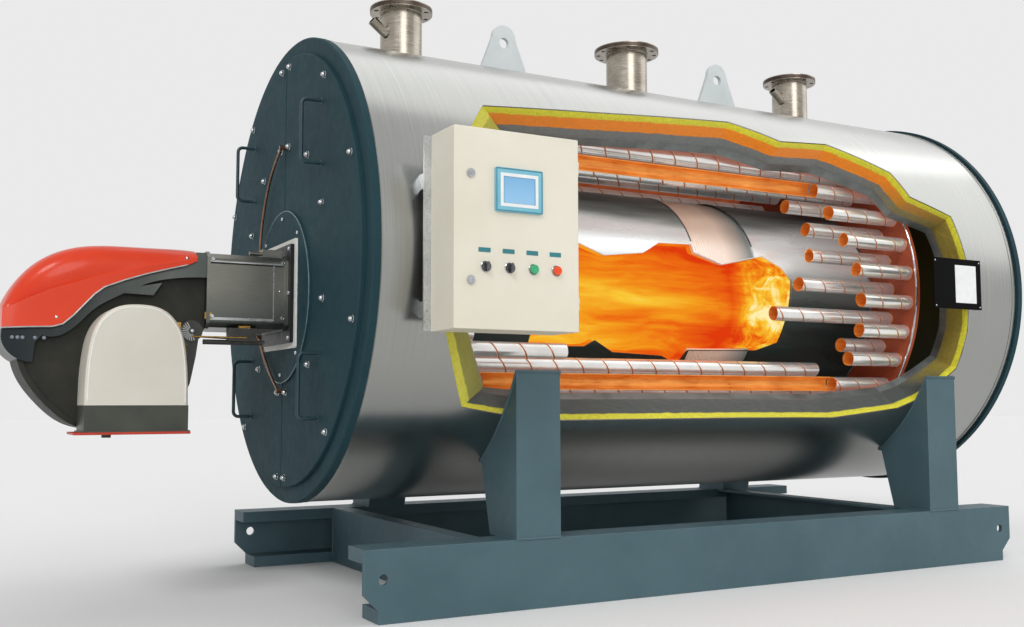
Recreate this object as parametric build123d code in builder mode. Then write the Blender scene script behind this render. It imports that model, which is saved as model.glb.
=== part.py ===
from build123d import *
from math import cos, radians, sin, tan
import os

os.makedirs("parts", exist_ok=True)

# Millimetres. X runs from the burner end to the rear, -Y is the cutaway side, Z is up from the floor.
# Stations are distances behind the front plate's face. X = 0 is the middle of the front cross member.

# Body
body_length = 3660.0
fit_gap = 0.3
furnace_radius = 540.0
furnace_wall = 16.0
furnace_drop = 40.0
furnace_to_tubes = 53.0
tube_radius = 37.0
tube_wall = 4.0
tube_ring_spacing = 130.0
tubes_to_shell = 23.0
shell_wall = 45.0
insulation_thickness = 134.4
cladding_sheet = 6.0
tube_plate_thickness = 22.0
front_smoke_box = 300.0
rear_smoke_box = 518.0
outer_ring_count = 32
inner_ring_count = 27

inner_ring_radius = furnace_radius + furnace_drop + furnace_to_tubes + tube_radius
outer_ring_radius = inner_ring_radius + tube_ring_spacing
shell_inner_radius = outer_ring_radius + tube_radius + tubes_to_shell
shell_outer_radius = shell_inner_radius + shell_wall
insulation_inner_radius = shell_outer_radius + fit_gap
insulation_outer_radius = insulation_inner_radius + insulation_thickness
cladding_radius = insulation_outer_radius + fit_gap + cladding_sheet
seat_radius = cladding_radius + fit_gap
root_depth = cladding_radius - 146

# Skid
rail_height = 281.0
rail_overhang = 20.0
rail_inset = 111.0
rail_depth = 170.0
rail_flange = 52.0
rail_web = 20.0
rail_chamfer = 60.0
rail_hole_radius = 21.0
rail_hole_inset = 80.0
rail_hole_drop = 114.0
body_clearance = 111.0
cross_member_depth = 90.0
cross_member_sheet = 14.0
front_cross_station = 500.0
leg_width = 208.0
leg_base_depth = 235.0
leg_top_depth = 329.0
front_leg_station = 675.0
rear_leg_inset = 580.0

axis_height = rail_height + body_clearance + cladding_radius
rail_outer_y = cladding_radius - rail_inset
rear_leg_station = body_length - rear_leg_inset
rear_cross_station = rear_leg_station + 6
front_face_x = -(front_cross_station + cross_member_depth / 2)

# Front plate, half doors and the raised burner seat
plate_lip = 4.0
front_plate_thickness = 35.0
door_margin = 72.0
door_thickness = 20.0
door_seam = 5.0
burner_drop = 122.0
boss_share = 0.4
boss_thickness = 12.0
gasket_size = 482.0
gasket_thickness = 8.0
gasket_border = 24.0
burner_plate_thickness = 16.0

front_plate_radius = cladding_radius + plate_lip
door_radius = front_plate_radius - door_margin
boss_radius = boss_share * door_radius
burner_axis = axis_height - burner_drop
boss_face = -(door_thickness + boss_thickness)
burner_plate_face = boss_face - gasket_thickness - burner_plate_thickness
body_start = front_plate_thickness + fit_gap


def at(station):
    return front_face_x + station


def along(share):
    return at(share * body_length)


# Skid rails: a channel each side, the web outside, the lower corners cut back at both ends.
rail_start = at(rail_overhang)
rail_end = at(body_length + rail_overhang)
with BuildPart() as skid_rails:
    for side in (-1, 1):
        outer = side * rail_outer_y
        inner = side * (rail_outer_y - rail_depth)
        web_inner = side * (rail_outer_y - rail_web)
        with BuildSketch(Plane.YZ.offset(rail_start)) as channel:
            with BuildLine():
                Polyline(
                    (outer, 0),
                    (inner, 0),
                    (inner, rail_flange),
                    (web_inner, rail_flange),
                    (web_inner, rail_height - rail_flange),
                    (inner, rail_height - rail_flange),
                    (inner, rail_height),
                    (outer, rail_height),
                    close=True,
                )
            make_face()
        extrude(amount=rail_end - rail_start)
    with BuildSketch(Plane.XZ) as rail_end_cuts:
        for end, inward in ((rail_start, 1), (rail_end, -1)):
            with BuildLine():
                Polyline(
                    (end - inward, -1),
                    (end + inward * rail_chamfer, -1),
                    (end + inward * rail_chamfer, rail_flange),
                    (end, rail_flange + rail_chamfer),
                    (end - inward, rail_flange + rail_chamfer),
                    close=True,
                )
            make_face()
    extrude(amount=cladding_radius, both=True, mode=Mode.SUBTRACT)
    with BuildSketch(Plane.XZ) as rail_holes:
        with Locations(
            (rail_start + rail_hole_inset, rail_height - rail_hole_drop),
            (rail_end - rail_hole_inset, rail_height - rail_hole_drop),
        ):
            Circle(rail_hole_radius)
    extrude(amount=cladding_radius, both=True, mode=Mode.SUBTRACT)
skid_rails.part.label = "skid_rails"
export_step(skid_rails.part, "parts/skid_rails.step")

# Cross members: channels between the rails, their webs to the front and to the rear.
with BuildPart() as cross_members:
    for web, facing in (
        (at(front_cross_station), 1),
        (at(rear_cross_station + cross_member_depth), -1),
    ):
        tip = web + facing * cross_member_depth
        web_back = web + facing * cross_member_sheet
        with BuildSketch(Plane.XZ) as cross_profile:
            with BuildLine():
                Polyline(
                    (web, 0),
                    (tip, 0),
                    (tip, cross_member_sheet),
                    (web_back, cross_member_sheet),
                    (web_back, rail_height - cross_member_sheet),
                    (tip, rail_height - cross_member_sheet),
                    (tip, rail_height),
                    (web, rail_height),
                    close=True,
                )
            make_face()
        extrude(amount=rail_outer_y - rail_depth - fit_gap, both=True)
cross_members.part.label = "cross_members"
export_step(cross_members.part, "parts/cross_members.step")

# Saddle legs: welded boxes from the rails up to the cladding.
with BuildPart() as saddle_legs:
    for side in (-1, 1):
        for station in (front_leg_station, rear_leg_station):
            with BuildSketch(Plane.YZ.offset(at(station))) as leg_outline:
                with BuildLine():
                    Polyline(
                        (side * rail_outer_y, rail_height),
                        (side * (rail_outer_y - leg_base_depth), rail_height),
                        (side * (rail_outer_y - leg_top_depth), axis_height - 0.76 * cladding_radius),
                        (side * rail_outer_y, axis_height - 0.38 * cladding_radius),
                        close=True,
                    )
                make_face()
            extrude(amount=leg_width)
    with BuildSketch(Plane.YZ.offset(at(0))) as saddle_curve:
        with Locations((0, axis_height)):
            Circle(seat_radius)
    extrude(amount=body_length, mode=Mode.SUBTRACT)
saddle_legs.part.label = "saddle_legs"
export_step(saddle_legs.part, "parts/saddle_legs.step")

# Cutaway window: share of the length and angle above the axis. Every side lies on a plane through the axis.
window = (
    (0.1585, 38.4),
    (0.3295, 42.8),
    (0.5500, 48.6),
    (0.5940, 44.7),
    (0.6205, 41.8),
    (0.7118, 43.9),
    (0.8038, 34.4),
    (0.8186, 25.7),
    (0.8893, 20.5),
    (0.8984, 7.4),
    (0.8995, -7.1),
    (0.9025, -13.4),
    (0.8984, -24.3),
    (0.8415, -34.8),
    (0.8139, -37.5),
    (0.7003, -40.7),
    (0.5361, -40.4),
    (0.2658, -40.6),
    (0.1858, -38.7),
    (0.1292, -36.5),
    (0.0902, -18.7),
    (0.1093, 5.0),
    (0.1309, 29.9),
)
window_far = 1.15 * cladding_radius
window_near = 0.4 * cladding_radius
with BuildPart() as window_cutter:
    for depth in (window_far, window_near):
        with BuildSketch(Plane.XZ.offset(depth)) as window_outline:
            with BuildLine():
                Polyline(
                    *[(along(share), axis_height + depth * tan(radians(angle))) for share, angle in window],
                    close=True,
                )
            make_face()
    loft(ruled=True)

# Cladding, insulation and pressure shell are three tubes one inside another, cut open together.
with BuildPart() as cladding:
    with BuildSketch(Plane.YZ.offset(at(body_start))) as cladding_ring:
        with Locations((0, axis_height)):
            Circle(cladding_radius)
            Circle(cladding_radius - cladding_sheet, mode=Mode.SUBTRACT)
    extrude(amount=body_length - body_start - fit_gap)
    add(window_cutter.part, mode=Mode.SUBTRACT)
cladding.part.label = "cladding"
export_step(cladding.part, "parts/cladding.step")

with BuildPart() as insulation:
    with BuildSketch(Plane.YZ.offset(at(body_start))) as insulation_ring:
        with Locations((0, axis_height)):
            Circle(insulation_outer_radius)
            Circle(insulation_inner_radius, mode=Mode.SUBTRACT)
    extrude(amount=body_length - body_start - fit_gap)
    add(window_cutter.part, mode=Mode.SUBTRACT)
insulation.part.label = "insulation"
export_step(insulation.part, "parts/insulation.step")

with BuildPart() as pressure_shell:
    with BuildSketch(Plane.YZ.offset(at(body_start))) as shell_ring:
        with Locations((0, axis_height)):
            Circle(shell_outer_radius)
            Circle(shell_inner_radius, mode=Mode.SUBTRACT)
    extrude(amount=body_length - body_start - fit_gap)
    add(window_cutter.part, mode=Mode.SUBTRACT)
pressure_shell.part.label = "pressure_shell"
export_step(pressure_shell.part, "parts/pressure_shell.step")

# Front plate: the wide rim the half doors bolt to.
with BuildPart() as front_plate:
    with BuildSketch(Plane.YZ.offset(at(0))) as front_ring:
        with Locations((0, axis_height)):
            Circle(front_plate_radius)
            Circle(shell_inner_radius - 20, mode=Mode.SUBTRACT)
    extrude(amount=front_plate_thickness)
    chamfer(front_plate.faces().sort_by(Axis.X)[0].edges().sort_by(SortBy.LENGTH)[-1], 6)
front_plate.part.label = "front_plate"
export_step(front_plate.part, "parts/front_plate.step")

# Half doors: two half-round covers that meet on the upright seam.
for name, side in (("door_half_near", -1), ("door_half_far", 1)):
    with BuildPart() as door_half:
        with BuildSketch(Plane.YZ.offset(at(-door_thickness))) as door_sketch:
            with Locations((0, axis_height)):
                Circle(door_radius)
            with Locations((side * (door_seam / 2 - door_radius), axis_height)):
                Rectangle(2 * door_radius, 2.2 * door_radius, mode=Mode.SUBTRACT)
        extrude(amount=door_thickness - fit_gap)
        chamfer(door_half.faces().sort_by(Axis.X)[0].edges(), 4)
    door_half.part.label = name
    export_step(door_half.part, f"parts/{name}.step")

with BuildPart() as burner_boss:
    with BuildSketch(Plane.YZ.offset(at(boss_face))) as boss_sketch:
        with Locations((0, burner_axis)):
            Circle(boss_radius)
    extrude(amount=boss_thickness - fit_gap)
    chamfer(burner_boss.faces().sort_by(Axis.X)[0].edges(), 5)
burner_boss.part.label = "burner_boss"
export_step(burner_boss.part, "parts/burner_boss.step")

with BuildPart() as burner_gasket:
    with BuildSketch(Plane.YZ.offset(at(boss_face - gasket_thickness))) as gasket_sketch:
        with Locations((0, burner_axis)):
            RectangleRounded(gasket_size, gasket_size, 12)
    extrude(amount=gasket_thickness - fit_gap)
burner_gasket.part.label = "burner_gasket"
export_step(burner_gasket.part, "parts/burner_gasket.step")

burner_plate_size = gasket_size - 2 * gasket_border
with BuildPart() as burner_plate:
    with BuildSketch(Plane.YZ.offset(at(burner_plate_face))) as plate_sketch:
        with Locations((0, burner_axis)):
            RectangleRounded(burner_plate_size, burner_plate_size, 8)
    extrude(amount=burner_plate_thickness - fit_gap)
burner_plate.part.label = "burner_plate"
export_step(burner_plate.part, "parts/burner_plate.step")

# Pull handles: bent round bar, two on each half door.
handle_length = 268.0
handle_stand_off = 88.0
handle_rod_radius = 8.0
handle_y = 0.516 * door_radius
handle_rise = 0.545 * door_radius
door_surface = at(-door_thickness - fit_gap)
with BuildPart() as door_handles:
    for across in (-handle_y, handle_y):
        for middle in (axis_height + handle_rise, axis_height - handle_rise):
            low = middle - handle_length / 2
            high = middle + handle_length / 2
            out = door_surface - handle_stand_off
            with BuildLine() as handle_path:
                FilletPolyline(
                    (door_surface, across, low),
                    (out, across, low),
                    (out, across, high),
                    (door_surface, across, high),
                    radius=3 * handle_rod_radius,
                )
            with BuildSketch(Plane(origin=(door_surface, across, low), z_dir=(-1, 0, 0))) as handle_section:
                Circle(handle_rod_radius)
            sweep(path=handle_path.line)
door_handles.part.label = "door_handles"
export_step(door_handles.part, "parts/door_handles.step")

# Impulse pipes: two thin copper tubes, each on a union screwed into the door and one into the seat.
pipe_radius = 6.0
union_radius = 11.0
pipe_x = at(boss_face - 16)
pipe_seat_y = 0.767 * boss_radius
upper_seat_z = burner_axis + 0.5 * boss_radius
lower_seat_z = burner_axis - 0.43 * boss_radius
upper_door_z = axis_height + 0.573 * door_radius
lower_door_z = axis_height - 0.562 * door_radius
with BuildPart() as impulse_pipes:
    for door_z, middle, seat in (
        (upper_door_z, (190, (upper_door_z + upper_seat_z) / 2 + 70), (pipe_seat_y, upper_seat_z)),
        (lower_door_z, (150, (lower_door_z + lower_seat_z) / 2 - 10), (pipe_seat_y, lower_seat_z)),
    ):
        with BuildLine() as pipe_path:
            ThreePointArc((pipe_x, -30, door_z), (pipe_x, *middle), (pipe_x, *seat))
        with BuildSketch(Plane(origin=pipe_path.line @ 0, z_dir=pipe_path.line % 0)) as pipe_section:
            Circle(pipe_radius)
        sweep(path=pipe_path.line)
        for face, centre in ((at(-door_thickness), (-30, door_z)), (at(boss_face), seat)):
            with BuildSketch(Plane.YZ.offset(face - fit_gap)) as union_section:
                with Locations(centre):
                    RegularPolygon(union_radius, 6)
            extrude(amount=pipe_x - face - 10)
impulse_pipes.part.label = "impulse_pipes"
export_step(impulse_pipes.part, "parts/impulse_pipes.step")

# Tube plates
front_tube_plate = front_smoke_box
rear_tube_plate = body_length - rear_smoke_box - tube_plate_thickness
furnace_axis = axis_height - furnace_drop
for name, station in (
    ("tube_plate_front", front_tube_plate),
    ("tube_plate_rear", rear_tube_plate),
):
    with BuildPart() as tube_plate:
        with BuildSketch(Plane.YZ.offset(at(station))) as tube_plate_sketch:
            with Locations((0, axis_height)):
                Circle(shell_inner_radius - fit_gap)
            with Locations((0, furnace_axis)):
                Circle(furnace_radius - furnace_wall, mode=Mode.SUBTRACT)
        extrude(amount=tube_plate_thickness)
    tube_plate.part.label = name
    export_step(tube_plate.part, f"parts/{name}.step")

# Furnace: plain front tube, corrugated middle and plain rear tube, torn open on the near side.
inner_start = at(front_tube_plate + tube_plate_thickness + fit_gap)
inner_finish = at(rear_tube_plate - fit_gap)
corrugated_start = along(0.5287)
corrugated_end = along(0.6366)
furnace_opening = (
    (0.2732, 0.300),
    (0.3426, 0.354),
    (0.3779, 0.257),
    (0.4410, 0.307),
    (0.4721, 0.419),
    (0.5290, 0.431),
    (0.5290, 0.356),
    (0.5727, 0.252),
    (0.6511, 0.367),
    (0.6833, 0.261),
    (0.6984, 0.137),
    (0.6934, -0.113),
    (0.6847, -0.459),
    (0.6478, -0.544),
    (0.5284, -0.559),
    (0.5205, -0.694),
    (0.4872, -0.615),
    (0.4049, -0.593),
    (0.3721, -0.496),
    (0.3593, -0.550),
    (0.2732, -0.563),
)
with BuildPart() as opening_cutter:
    with BuildSketch(Plane.XZ.offset(0.55 * furnace_radius)) as opening_sketch:
        with BuildLine():
            Polyline(
                *[(along(share), furnace_axis + rise * furnace_radius) for share, rise in furnace_opening],
                close=True,
            )
        make_face()
    extrude(amount=0.75 * furnace_radius)

for name, start, finish in (
    ("furnace_front", inner_start, corrugated_start),
    ("furnace_rear", corrugated_end, inner_finish),
):
    with BuildPart() as furnace_section:
        with BuildSketch(Plane.YZ.offset(start)) as furnace_ring:
            with Locations((0, furnace_axis)):
                Circle(furnace_radius)
                Circle(furnace_radius - furnace_wall, mode=Mode.SUBTRACT)
        extrude(amount=finish - start)
        add(opening_cutter.part, mode=Mode.SUBTRACT)
    furnace_section.part.label = name
    export_step(furnace_section.part, f"parts/{name}.step")

wave_height = 14.0
wave_count = 6
wave_length = (corrugated_end - corrugated_start - 2 * fit_gap) / wave_count
crest_radius = furnace_radius - 4
wave_outline = [(corrugated_start + fit_gap, crest_radius)]
for wave in range(wave_count):
    for share, drop in ((0.15, 0), (0.35, wave_height), (0.65, wave_height), (0.85, 0)):
        wave_x = corrugated_start + fit_gap + (wave + share) * wave_length
        wave_outline.append((wave_x, crest_radius - drop))
wave_outline.append((corrugated_end - fit_gap, crest_radius))
with BuildPart() as furnace_corrugated:
    with BuildSketch(Plane.XY.offset(furnace_axis)) as wave_sketch:
        with BuildLine():
            Polyline(
                *wave_outline,
                *[(x, radius - furnace_wall) for x, radius in reversed(wave_outline)],
                close=True,
            )
        make_face()
    revolve(axis=Axis((0, 0, furnace_axis), (1, 0, 0)))
    add(opening_cutter.part, mode=Mode.SUBTRACT)
furnace_corrugated.part.label = "furnace_corrugated"
export_step(furnace_corrugated.part, "parts/furnace_corrugated.step")

# Fire tubes: two rings around the furnace. Those in the window are cut short, keyed by angle above the axis.
# Each run is its start, its end and whether the near half is cut away.
left_stub = (inner_start, along(0.1749), False)
outer_cut_tubes = {
    39: ((inner_start, along(0.7197), True), (along(0.7197), inner_finish, False)),
    28: (left_stub, (along(0.7240), inner_finish, False)),
    17: (left_stub, (along(0.7350), inner_finish, False)),
    6: (left_stub, (along(0.7497), inner_finish, False)),
    -6: (left_stub, (along(0.7577), inner_finish, False)),
    -17: (left_stub, (along(0.7609), inner_finish, False)),
    -28: ((inner_start, along(0.2869), False), (along(0.7549), inner_finish, False)),
    -39: ((inner_start, along(0.7459), True), (along(0.7459), inner_finish, False)),
}
inner_cut_tubes = {
    40: (left_stub, (along(0.6913), inner_finish, False)),
    27: (left_stub, (along(0.7077), inner_finish, False)),
    13: (left_stub, (along(0.6995), inner_finish, False)),
    0: (left_stub, (along(0.6738), inner_finish, False)),
    -13: (left_stub, (along(0.6311), inner_finish, False)),
    -27: (left_stub, (along(0.7705), inner_finish, False)),
    -40: ((inner_start, along(0.7432), False),),
}
whole_tube = ((inner_start, inner_finish, False),)

for name, ring_radius, ring_count, first_angle, cut_tubes in (
    ("fire_tubes_outer", outer_ring_radius, outer_ring_count, -180 / outer_ring_count, outer_cut_tubes),
    ("fire_tubes_inner", inner_ring_radius, inner_ring_count, 0.0, inner_cut_tubes),
):
    with BuildPart() as fire_tubes:
        for index in range(ring_count):
            angle = (first_angle + index * 360 / ring_count + 180) % 360 - 180
            across = -ring_radius * cos(radians(angle))
            height = axis_height + ring_radius * sin(radians(angle))
            for start, finish, halved in cut_tubes.get(round(angle), whole_tube):
                with BuildSketch(Plane.YZ.offset(start)) as tube_ring:
                    with Locations((across, height)):
                        Circle(tube_radius)
                        Circle(tube_radius - tube_wall, mode=Mode.SUBTRACT)
                    if halved:
                        with Locations((across - tube_radius, height)):
                            Rectangle(2 * tube_radius, 3 * tube_radius, mode=Mode.SUBTRACT)
                extrude(amount=finish - start)
    fire_tubes.part.label = name
    export_step(fire_tubes.part, f"parts/{name}.step")

# Rear cover: a round flange closing all three tubes, with a raised disc like the front doors.
rear_cover_lip = 15.0
rear_cover_thickness = 35.0
with BuildPart() as rear_cover:
    with BuildSketch(Plane.YZ.offset(at(body_length))) as rear_disc:
        with Locations((0, axis_height)):
            Circle(cladding_radius + rear_cover_lip)
    extrude(amount=rear_cover_thickness)
    chamfer(rear_cover.faces().sort_by(Axis.X)[-1].edges(), 6)
    with BuildSketch(Plane.YZ.offset(at(body_length + rear_cover_thickness))) as rear_panel:
        with Locations((0, axis_height)):
            Circle(door_radius)
    extrude(amount=door_thickness)
    chamfer(rear_cover.faces().sort_by(Axis.X)[-1].edges(), 4)
rear_cover.part.label = "rear_cover"
export_step(rear_cover.part, "parts/rear_cover.step")

# Nozzles: flanged necks on the cladding's top line, two of them with a gauge stub.
nozzle_rise = 249.0
front_nozzle_station = 550.0
rear_nozzle_inset = 594.0
nozzle_flange_thickness = 26.0
neck_wall = 9.0
stub_radius = 24.0
stub_length = 95.0
bolt_hole_radius = 11.0
flange_base = axis_height + cladding_radius + nozzle_rise
for name, centre_x, neck_radius, flange_width, hole_count, with_stub in (
    ("nozzle_front", at(front_nozzle_station), 102, 50, 8, True),
    ("nozzle_middle", along(0.5153), 111, 63, 12, False),
    ("nozzle_rear", at(body_length - rear_nozzle_inset), 102, 50, 8, True),
):
    with BuildPart() as nozzle:
        with BuildSketch(Plane.XY.offset(axis_height + root_depth)) as neck_sketch:
            with Locations((centre_x, 0)):
                Circle(neck_radius)
        extrude(amount=flange_base - axis_height - root_depth)
        with BuildSketch(Plane.XY.offset(flange_base)) as flange_sketch:
            with Locations((centre_x, 0)):
                Circle(neck_radius + flange_width)
        extrude(amount=nozzle_flange_thickness)
        if with_stub:
            stub_plane = Plane(
                origin=(centre_x - neck_radius + stub_radius / 2, -30, flange_base - 120),
                z_dir=(-0.82, -0.12, 0.56),
            )
            with BuildSketch(stub_plane) as stub_sketch:
                Circle(stub_radius)
            extrude(amount=stub_length)
            with BuildSketch(stub_plane) as stub_bore:
                Circle(stub_radius - 6)
            extrude(amount=stub_length, mode=Mode.SUBTRACT)
        with BuildSketch(Plane.XY.offset(axis_height + root_depth)) as neck_bore:
            with Locations((centre_x, 0)):
                Circle(neck_radius - neck_wall)
        extrude(amount=cladding_radius, mode=Mode.SUBTRACT)
        with BuildSketch(Plane.XY.offset(flange_base)) as bolt_circle:
            with Locations((centre_x, 0)):
                with PolarLocations(neck_radius + flange_width - 2 * bolt_hole_radius, hole_count):
                    Circle(bolt_hole_radius)
        extrude(amount=nozzle_flange_thickness, mode=Mode.SUBTRACT)
        with BuildSketch(Plane.YZ.offset(centre_x - 2 * neck_radius)) as body_round:
            with Locations((0, axis_height)):
                Circle(seat_radius)
        extrude(amount=4 * neck_radius, mode=Mode.SUBTRACT)
    nozzle.part.label = name
    export_step(nozzle.part, f"parts/{name}.step")

# Lifting lugs: flat plates with a round eye, on the top line.
lug_thickness = 24.0
lug_half_width = 128.0
lug_shoulder = 60.0
lug_head_radius = 66.0
lug_head_height = 222.0
lug_eye_radius = 27.0
lug_base = axis_height + seat_radius
with BuildPart() as lifting_lugs:
    for centre_x in (along(0.3052), along(0.6852)):
        head_z = lug_base + lug_head_height
        with BuildSketch(Plane.XZ.offset(-lug_thickness / 2)) as lug_outline:
            with BuildLine():
                Polyline(
                    (centre_x - lug_head_radius, head_z),
                    (centre_x - lug_half_width, lug_base + lug_shoulder),
                    (centre_x - lug_half_width, lug_base),
                    (centre_x + lug_half_width, lug_base),
                    (centre_x + lug_half_width, lug_base + lug_shoulder),
                    (centre_x + lug_head_radius, head_z),
                )
                ThreePointArc(
                    (centre_x + lug_head_radius, head_z),
                    (centre_x, head_z + lug_head_radius),
                    (centre_x - lug_head_radius, head_z),
                )
            make_face()
            with Locations((centre_x, head_z - lug_eye_radius)):
                Circle(lug_eye_radius, mode=Mode.SUBTRACT)
        extrude(amount=lug_thickness)
lifting_lugs.part.label = "lifting_lugs"
export_step(lifting_lugs.part, "parts/lifting_lugs.step")

# Control cabinet: open box, mounting strip behind it and a pan door.
cabinet_station = 215.0
cabinet_width = 535.0
cabinet_height = 751.0
cabinet_depth = 180.0
cabinet_stand_off = 54.0
cabinet_sheet = 3.0
cabinet_door_thickness = 19.0
cabinet_door_gap = 1.0
hinge_stand_off = 7.0
hinge_radius = 5.5
hinge_pin_radius = 2.5
hinge_length = 24.0
leaf_width = 12.0
strip_width = 100.0
strip_thickness = 8.0
cabinet_left = at(cabinet_station)
cabinet_centre_x = cabinet_left + cabinet_width / 2
cabinet_centre_z = axis_height + 0.053 * cabinet_height
cabinet_back = cladding_radius + cabinet_stand_off
cabinet_front = cabinet_back + cabinet_depth
hinge_x = cabinet_left + cabinet_width + hinge_stand_off
hinge_y = -(cabinet_front + cabinet_door_gap)
hinge_heights = [cabinet_centre_z + share * cabinet_height for share in (-0.383, 0.323)]
with BuildPart() as cabinet_box:
    with BuildSketch(Plane.XZ.offset(cabinet_back)) as cabinet_outer:
        with Locations((cabinet_centre_x, cabinet_centre_z)):
            Rectangle(cabinet_width, cabinet_height)
    extrude(amount=cabinet_depth)
    with BuildSketch(Plane.XZ.offset(cabinet_back + cabinet_sheet)) as cabinet_inner:
        with Locations((cabinet_centre_x, cabinet_centre_z)):
            Rectangle(cabinet_width - 2 * cabinet_sheet, cabinet_height - 2 * cabinet_sheet)
    extrude(amount=cabinet_depth, mode=Mode.SUBTRACT)
    with BuildSketch(Plane.XY) as hinge_leaves:
        with Locations((hinge_x - hinge_stand_off / 2, hinge_y + leaf_width / 2)):
            Rectangle(hinge_stand_off, leaf_width)
        with Locations((hinge_x, hinge_y)):
            Circle(hinge_radius)
    for height in hinge_heights:
        extrude(to_extrude=hinge_leaves.sketch.moved(Location((0, 0, height))), amount=hinge_length)
    with BuildSketch(Plane.XY) as hinge_pins:
        with Locations((hinge_x, hinge_y)):
            Circle(hinge_pin_radius)
    for height in hinge_heights:
        extrude(to_extrude=hinge_pins.sketch.moved(Location((0, 0, height))), amount=2 * hinge_length)
cabinet_box.part.label = "cabinet_box"
export_step(cabinet_box.part, "parts/cabinet_box.step")

strip_x = cabinet_left + strip_width / 5
with BuildPart() as cabinet_bracket:
    with BuildSketch(Plane.XZ.offset(cabinet_back - strip_thickness)) as strip_sketch:
        with Locations((strip_x, cabinet_centre_z)):
            Rectangle(strip_width, cabinet_height - 4)
    extrude(amount=strip_thickness - fit_gap)
    with BuildSketch(Plane.XZ.offset(root_depth)) as stand_off_sketch:
        with Locations(*[(strip_x, axis_height + share * cabinet_height) for share in (-0.33, 0.33)]):
            Rectangle(60, 60)
    extrude(amount=cabinet_back - strip_thickness / 2 - root_depth)
    with BuildSketch(Plane.YZ.offset(at(0))) as bracket_round:
        with Locations((0, axis_height)):
            Circle(seat_radius)
    extrude(amount=body_length, mode=Mode.SUBTRACT)
cabinet_bracket.part.label = "cabinet_bracket"
export_step(cabinet_bracket.part, "parts/cabinet_bracket.step")

door_back = cabinet_front + cabinet_door_gap
door_face = door_back + cabinet_door_thickness
door_skin = 4.0
shaft_radius = 10.0
shaft_depth = 18.0
knob_z = cabinet_centre_z - 0.191 * cabinet_height
knob_x = [cabinet_left + share * cabinet_width for share in (0.243, 0.432, 0.622, 0.811)]
lock_x = cabinet_left + 0.127 * cabinet_width
lock_z = [cabinet_centre_z + share * cabinet_height for share in (-0.26, 0.267)]
screen_z = cabinet_centre_z + 0.199 * cabinet_height
with BuildPart() as cabinet_door:
    with BuildSketch(Plane.XZ.offset(door_back)) as door_outer:
        with Locations((cabinet_centre_x, cabinet_centre_z)):
            Rectangle(cabinet_width, cabinet_height)
    extrude(amount=cabinet_door_thickness)
    fillet(cabinet_door.edges().filter_by(Axis.Y), 5)
    fillet(cabinet_door.faces().sort_by(Axis.Y)[0].edges(), 3)
    with BuildSketch(Plane.XZ.offset(door_back)) as door_pocket:
        with Locations((cabinet_centre_x, cabinet_centre_z)):
            Rectangle(cabinet_width - 2 * door_skin, cabinet_height - 2 * door_skin)
    extrude(amount=cabinet_door_thickness - door_skin, mode=Mode.SUBTRACT)
    with BuildSketch(Plane.XZ.offset(door_back)) as door_holes:
        with Locations(*[(x, knob_z) for x in knob_x], *[(lock_x, z) for z in lock_z]):
            Circle(shaft_radius + 1)
    extrude(amount=cabinet_door_thickness, mode=Mode.SUBTRACT)
    with BuildSketch(Plane.XY) as door_knuckles:
        with Locations((hinge_x - hinge_stand_off / 2, hinge_y - leaf_width / 2)):
            Rectangle(hinge_stand_off, leaf_width)
        with Locations((hinge_x, hinge_y)):
            Circle(hinge_radius)
            Circle(hinge_pin_radius + fit_gap, mode=Mode.SUBTRACT)
    for height in hinge_heights:
        above = Location((0, 0, height + hinge_length + fit_gap))
        extrude(to_extrude=door_knuckles.sketch.moved(above), amount=hinge_length)
cabinet_door.part.label = "cabinet_door"
export_step(cabinet_door.part, "parts/cabinet_door.step")

screen_width = 202.0
screen_height = 166.0
with BuildPart() as touch_screen:
    with BuildSketch(Plane.XZ.offset(door_face + fit_gap)) as bezel_sketch:
        with Locations((cabinet_centre_x, screen_z)):
            RectangleRounded(screen_width, screen_height, 6)
    extrude(amount=12)
    with BuildSketch(Plane.XZ.offset(door_face + 10)) as glass_recess:
        with Locations((cabinet_centre_x, screen_z)):
            Rectangle(0.75 * screen_width, 0.71 * screen_height)
    extrude(amount=6, mode=Mode.SUBTRACT)
touch_screen.part.label = "touch_screen"
export_step(touch_screen.part, "parts/touch_screen.step")

# Selectors: a collar and a bar grip on a shaft through the door.
for name, centre_x in (("selector_left", knob_x[0]), ("selector_right", knob_x[1])):
    with BuildPart() as selector:
        for depth, radius, length in ((-shaft_depth, shaft_radius, shaft_depth + 2), (0.5, 19, 9)):
            with BuildSketch(Plane.XZ.offset(door_face + depth)) as selector_round:
                with Locations((centre_x, knob_z)):
                    Circle(radius)
            extrude(amount=length)
        with BuildSketch(Plane.XZ.offset(door_face + 9)) as selector_grip:
            with Locations((centre_x, knob_z)):
                SlotOverall(34, 12, rotation=90)
        extrude(amount=16)
    selector.part.label = name
    export_step(selector.part, f"parts/{name}.step")

for name, centre_x in (("button_green", knob_x[2]), ("button_red", knob_x[3])):
    with BuildPart() as button:
        for depth, radius, length in ((-shaft_depth, shaft_radius, shaft_depth + 10), (6, 17, 9)):
            with BuildSketch(Plane.XZ.offset(door_face + depth)) as button_round:
                with Locations((centre_x, knob_z)):
                    Circle(radius)
            extrude(amount=length)
        fillet(button.faces().sort_by(Axis.Y)[0].edges(), 2)
    button.part.label = name
    export_step(button.part, f"parts/{name}.step")

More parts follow.
